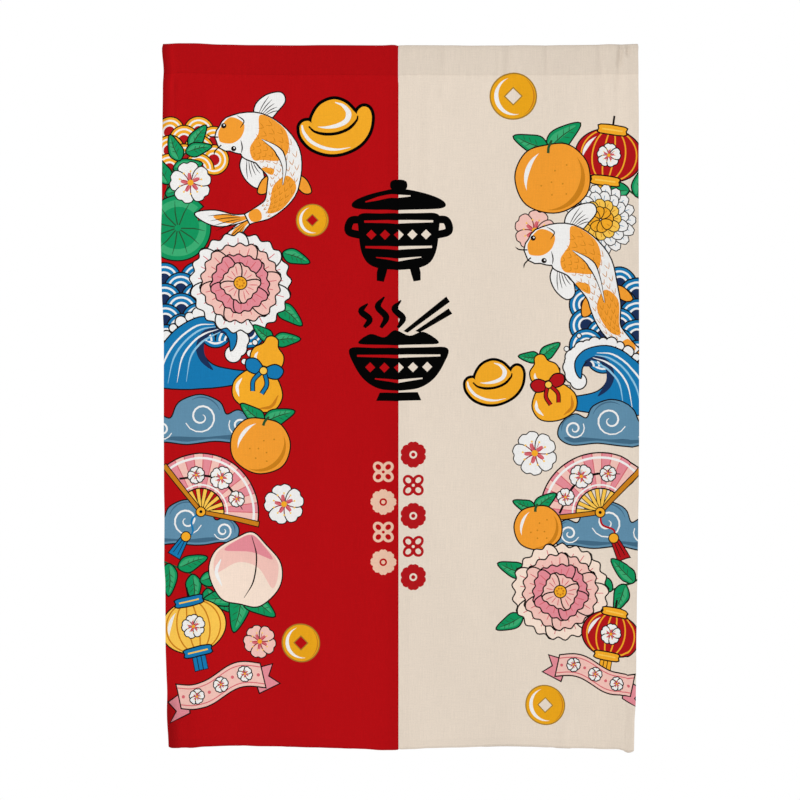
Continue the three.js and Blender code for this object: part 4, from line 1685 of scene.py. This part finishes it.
def sewn(name, cloth, lines, values, sink, sheet):
    """Lays stitches along lines on the cloth, but not over the print on its front, as one plain mesh."""
    points, edges = [], []
    for line, printed in lines:
        run = cloth.surface(line[:, 0], line[:, 1], printed, sink) * MM
        bare = inked(cloth.side, sheet if printed else (), line)[0] == 0
        first = len(points)
        points += run.tolist()
        edges += [(first + i, first + i + 1) for i in range(len(run) - 1) if bare[i] and bare[i + 1]]
    mesh = bpy.data.meshes.new(name)
    mesh.from_pydata(points, edges, [])
    obj = bpy.data.objects.new(name, mesh)
    bpy.context.scene.collection.objects.link(obj)
    tree = stitch_tree()
    modifier = obj.modifiers.new("Lockstitch", "NODES")
    modifier.node_group = tree
    for item in tree.interface.items_tree:
        if item.in_out == "INPUT" and item.name in values:
            modifier[item.identifier] = values[item.name]
    made = bpy.data.meshes.new_from_object(obj.evaluated_get(bpy.context.evaluated_depsgraph_get()))
    bpy.data.objects.remove(obj)
    return made


def stitching(cloth, settings, material):
    """All the stitches of one panel, on both sides of the cloth, as one mesh."""
    full, small = seam_lines(cloth)
    name = f"{cloth.side.name}_stitching"
    common = {"Pitch": settings.pitch, "Material": material}
    sheet = whole_print()
    joined = bmesh.new()
    for lines, size, sink in (
        (full, {"Length": settings.length, "Thread": settings.thread}, 0.08),
        (small, {"Length": settings.prick, "Thread": settings.prick_thread}, 0.02),
    ):
        joined.from_mesh(sewn(name, cloth, lines, {**common, **size}, sink, sheet))
    made = bpy.data.meshes.new(name)
    joined.to_mesh(made)
    joined.free()
    made.shade_smooth()
    return made


def cut_size(side):
    """How wide and long a panel's cloth was cut, in metres, with its hems and the raw edges in them."""
    wide = side.right - side.left + 2 * (SIDE_HEM + HEM_TUCK)
    long = FLAP_END - BOTTOM + BOTTOM_HEM + FLAP_HEM + HEM_TUCK
    return round(wide * MM, 3), round(long * MM, 3)


def show(name, mesh, material, side):
    """Puts a finished mesh in the scene as a piece of the curtain."""
    obj = bpy.data.objects.new(name, mesh)
    bpy.context.scene.collection.objects.link(obj)
    mesh.materials.append(material)
    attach(obj, "root")
    return obj


class CURTAIN_OT_panels(bpy.types.Operator):
    """Makes both printed panels, each one cut of cloth with its hems and rod pocket"""

    bl_idname = "curtain.panels"
    bl_label = "Make Panels"

    def execute(self, context):
        settings, inks = context.scene.curtain_cloth, context.scene.curtain_inks
        sheet = whole_print()
        for side in SIDES:
            cloth = Cloth(side, settings)
            mesh = cloth_mesh(cloth, sheet, settings, inks)
            panel = show(f"{side.name}_hung_cloth", mesh, cloth_material(side, settings), side)
            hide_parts(f"{side.name}_panel", f"{side.name}_rod_pocket")
        return {"FINISHED"}


class CURTAIN_OT_stitching(bpy.types.Operator):
    """Sews the pockets and hems of both panels"""

    bl_idname = "curtain.stitching"
    bl_label = "Make Stitching"

    def execute(self, context):
        inks = context.scene.curtain_inks
        for side in SIDES:
            cloth = Cloth(side, context.scene.curtain_cloth)
            thread = thread_material(side, tuple(getattr(inks, side.ground)))
            mesh = stitching(cloth, context.scene.curtain_stitches, thread)
            sewing = show(f"{side.name}_stitching", mesh, thread, side)
            cut_size(side)
        return {"FINISHED"}


class CURTAIN_OT_stage(bpy.types.Operator):
    """Makes the pale floor, the lights and the camera"""

    bl_idname = "curtain.stage"
    bl_label = "Make Stage"

    def execute(self, context):
        stage_floor()
        stage_lights()
        stage_camera(context.scene)
        return {"FINISHED"}


def stage_floor():
    """A round pale floor well below the curtain."""
    radius, level, steps = 3.7, -1.95, 96
    turns = np.linspace(0, 2 * math.pi, steps, endpoint=False)
    points = [(radius * math.cos(a), radius * math.sin(a), level) for a in turns]
    mesh = bpy.data.meshes.new("stage_floor")
    mesh.from_pydata(points, [], [tuple(range(steps))])
    mesh.materials.append(plain_material("stage_paper", (0.9, 0.9, 0.9), 0.9))
    floor = bpy.data.objects.new("stage_floor", mesh)
    bpy.context.scene.collection.objects.link(floor)


# The lights' names, places, sizes and powers, and what they are all aimed at, in metres and watts
LIGHTS = (
    ("key", (-2.2, -3.0, 0.9), (2.2, 2.4), 62),
    ("fill", (2.2, -3.4, -0.2), (2.4, 2.4), 32),
    ("behind", (0.6, 3.0, 1.2), (2.4, 2.0), 60),
)
LIGHT_AIM = (0, 0, -0.6)

# The white surround: how strongly it lights the curtain, and how bright the camera sees it
WORLD_LIGHT = 0.5
WORLD_SEEN = 1.0

# The camera: its place, and how much height it sees at the curtain's distance
CAMERA_PLACE = (-0.0003, -4.2, -0.5978)
FRAME_HIGH = 1.3456


def stage_lights():
    """Soft light from the upper left, a weaker fill, some from behind, and a white surround."""
    for name, place, size, power in LIGHTS:
        data = bpy.data.lights.new(name, "AREA")
        data.shape = "RECTANGLE"
        data.size, data.size_y = size
        data.energy = power
        light = bpy.data.objects.new(name, data)
        light.location = place
        light.rotation_mode = "QUATERNION"
        light.rotation_quaternion = (Vector(LIGHT_AIM) - Vector(place)).to_track_quat("-Z", "Y")
        light.visible_camera = False
        bpy.context.scene.collection.objects.link(light)
    world = bpy.data.worlds.new("studio")
    world.use_nodes = True
    tree = world.node_tree
    background = tree.nodes["Background"]
    background.inputs["Color"].default_value = (1, 1, 1, 1)
    path = tree.nodes.new("ShaderNodeLightPath")
    strength = tree.nodes.new("ShaderNodeMapRange")
    strength.inputs["To Min"].default_value = WORLD_LIGHT
    strength.inputs["To Max"].default_value = WORLD_SEEN
    tree.links.new(path.outputs["Is Camera Ray"], strength.inputs["Value"])
    tree.links.new(strength.outputs["Result"], background.inputs["Strength"])
    bpy.context.scene.world = world


def stage_camera(scene):
    """Straight on, so that the curtain has the photo's size and place in the frame."""
    data = bpy.data.cameras.new("camera")
    data.sensor_width = 36
    data.lens = data.sensor_width * -CAMERA_PLACE[1] / FRAME_HIGH
    camera = bpy.data.objects.new("camera", data)
    camera.location = CAMERA_PLACE
    camera.rotation_euler = (math.radians(90), 0, 0)
    scene.collection.objects.link(camera)
    scene.camera = camera
    scene.view_settings.view_transform = "Standard"


class CURTAIN_PT_sidebar(bpy.types.Panel):
    """Lists the curtain's settings and what makes its pieces"""

    bl_idname = "CURTAIN_PT_sidebar"
    bl_label = "Split Door Curtain"
    bl_space_type = "VIEW_3D"
    bl_region_type = "UI"
    bl_category = "Curtain"

    def draw(self, context):
        scene = context.scene
        for settings in (scene.curtain_cloth, scene.curtain_stitches, scene.curtain_inks):
            box = self.layout.box()
            for name in settings.__annotations__:
                box.prop(settings, name)
        for operator in OPERATORS:
            self.layout.operator(operator.bl_idname)


OPERATORS = (CURTAIN_OT_stage, CURTAIN_OT_panels, CURTAIN_OT_stitching)
CLASSES = (ClothSettings, InkSettings, StitchSettings, *OPERATORS, CURTAIN_PT_sidebar)


def register():
    """Adds the settings, the operators and the sidebar to Blender."""
    for each in CLASSES:
        bpy.utils.register_class(each)
    bpy.types.Scene.curtain_cloth = bpy.props.PointerProperty(type=ClothSettings)
    bpy.types.Scene.curtain_inks = bpy.props.PointerProperty(type=InkSettings)
    bpy.types.Scene.curtain_stitches = bpy.props.PointerProperty(type=StitchSettings)


def unregister():
    """Takes them away again."""
    del bpy.types.Scene.curtain_cloth
    del bpy.types.Scene.curtain_inks
    del bpy.types.Scene.curtain_stitches
    for each in reversed(CLASSES):
        bpy.utils.unregister_class(each)


def main():
    """Builds the stage and the curtain."""
    register()
    bpy.ops.curtain.stage()
    bpy.ops.curtain.panels()
    bpy.ops.curtain.stitching()


if __name__ == "__main__":
    main()
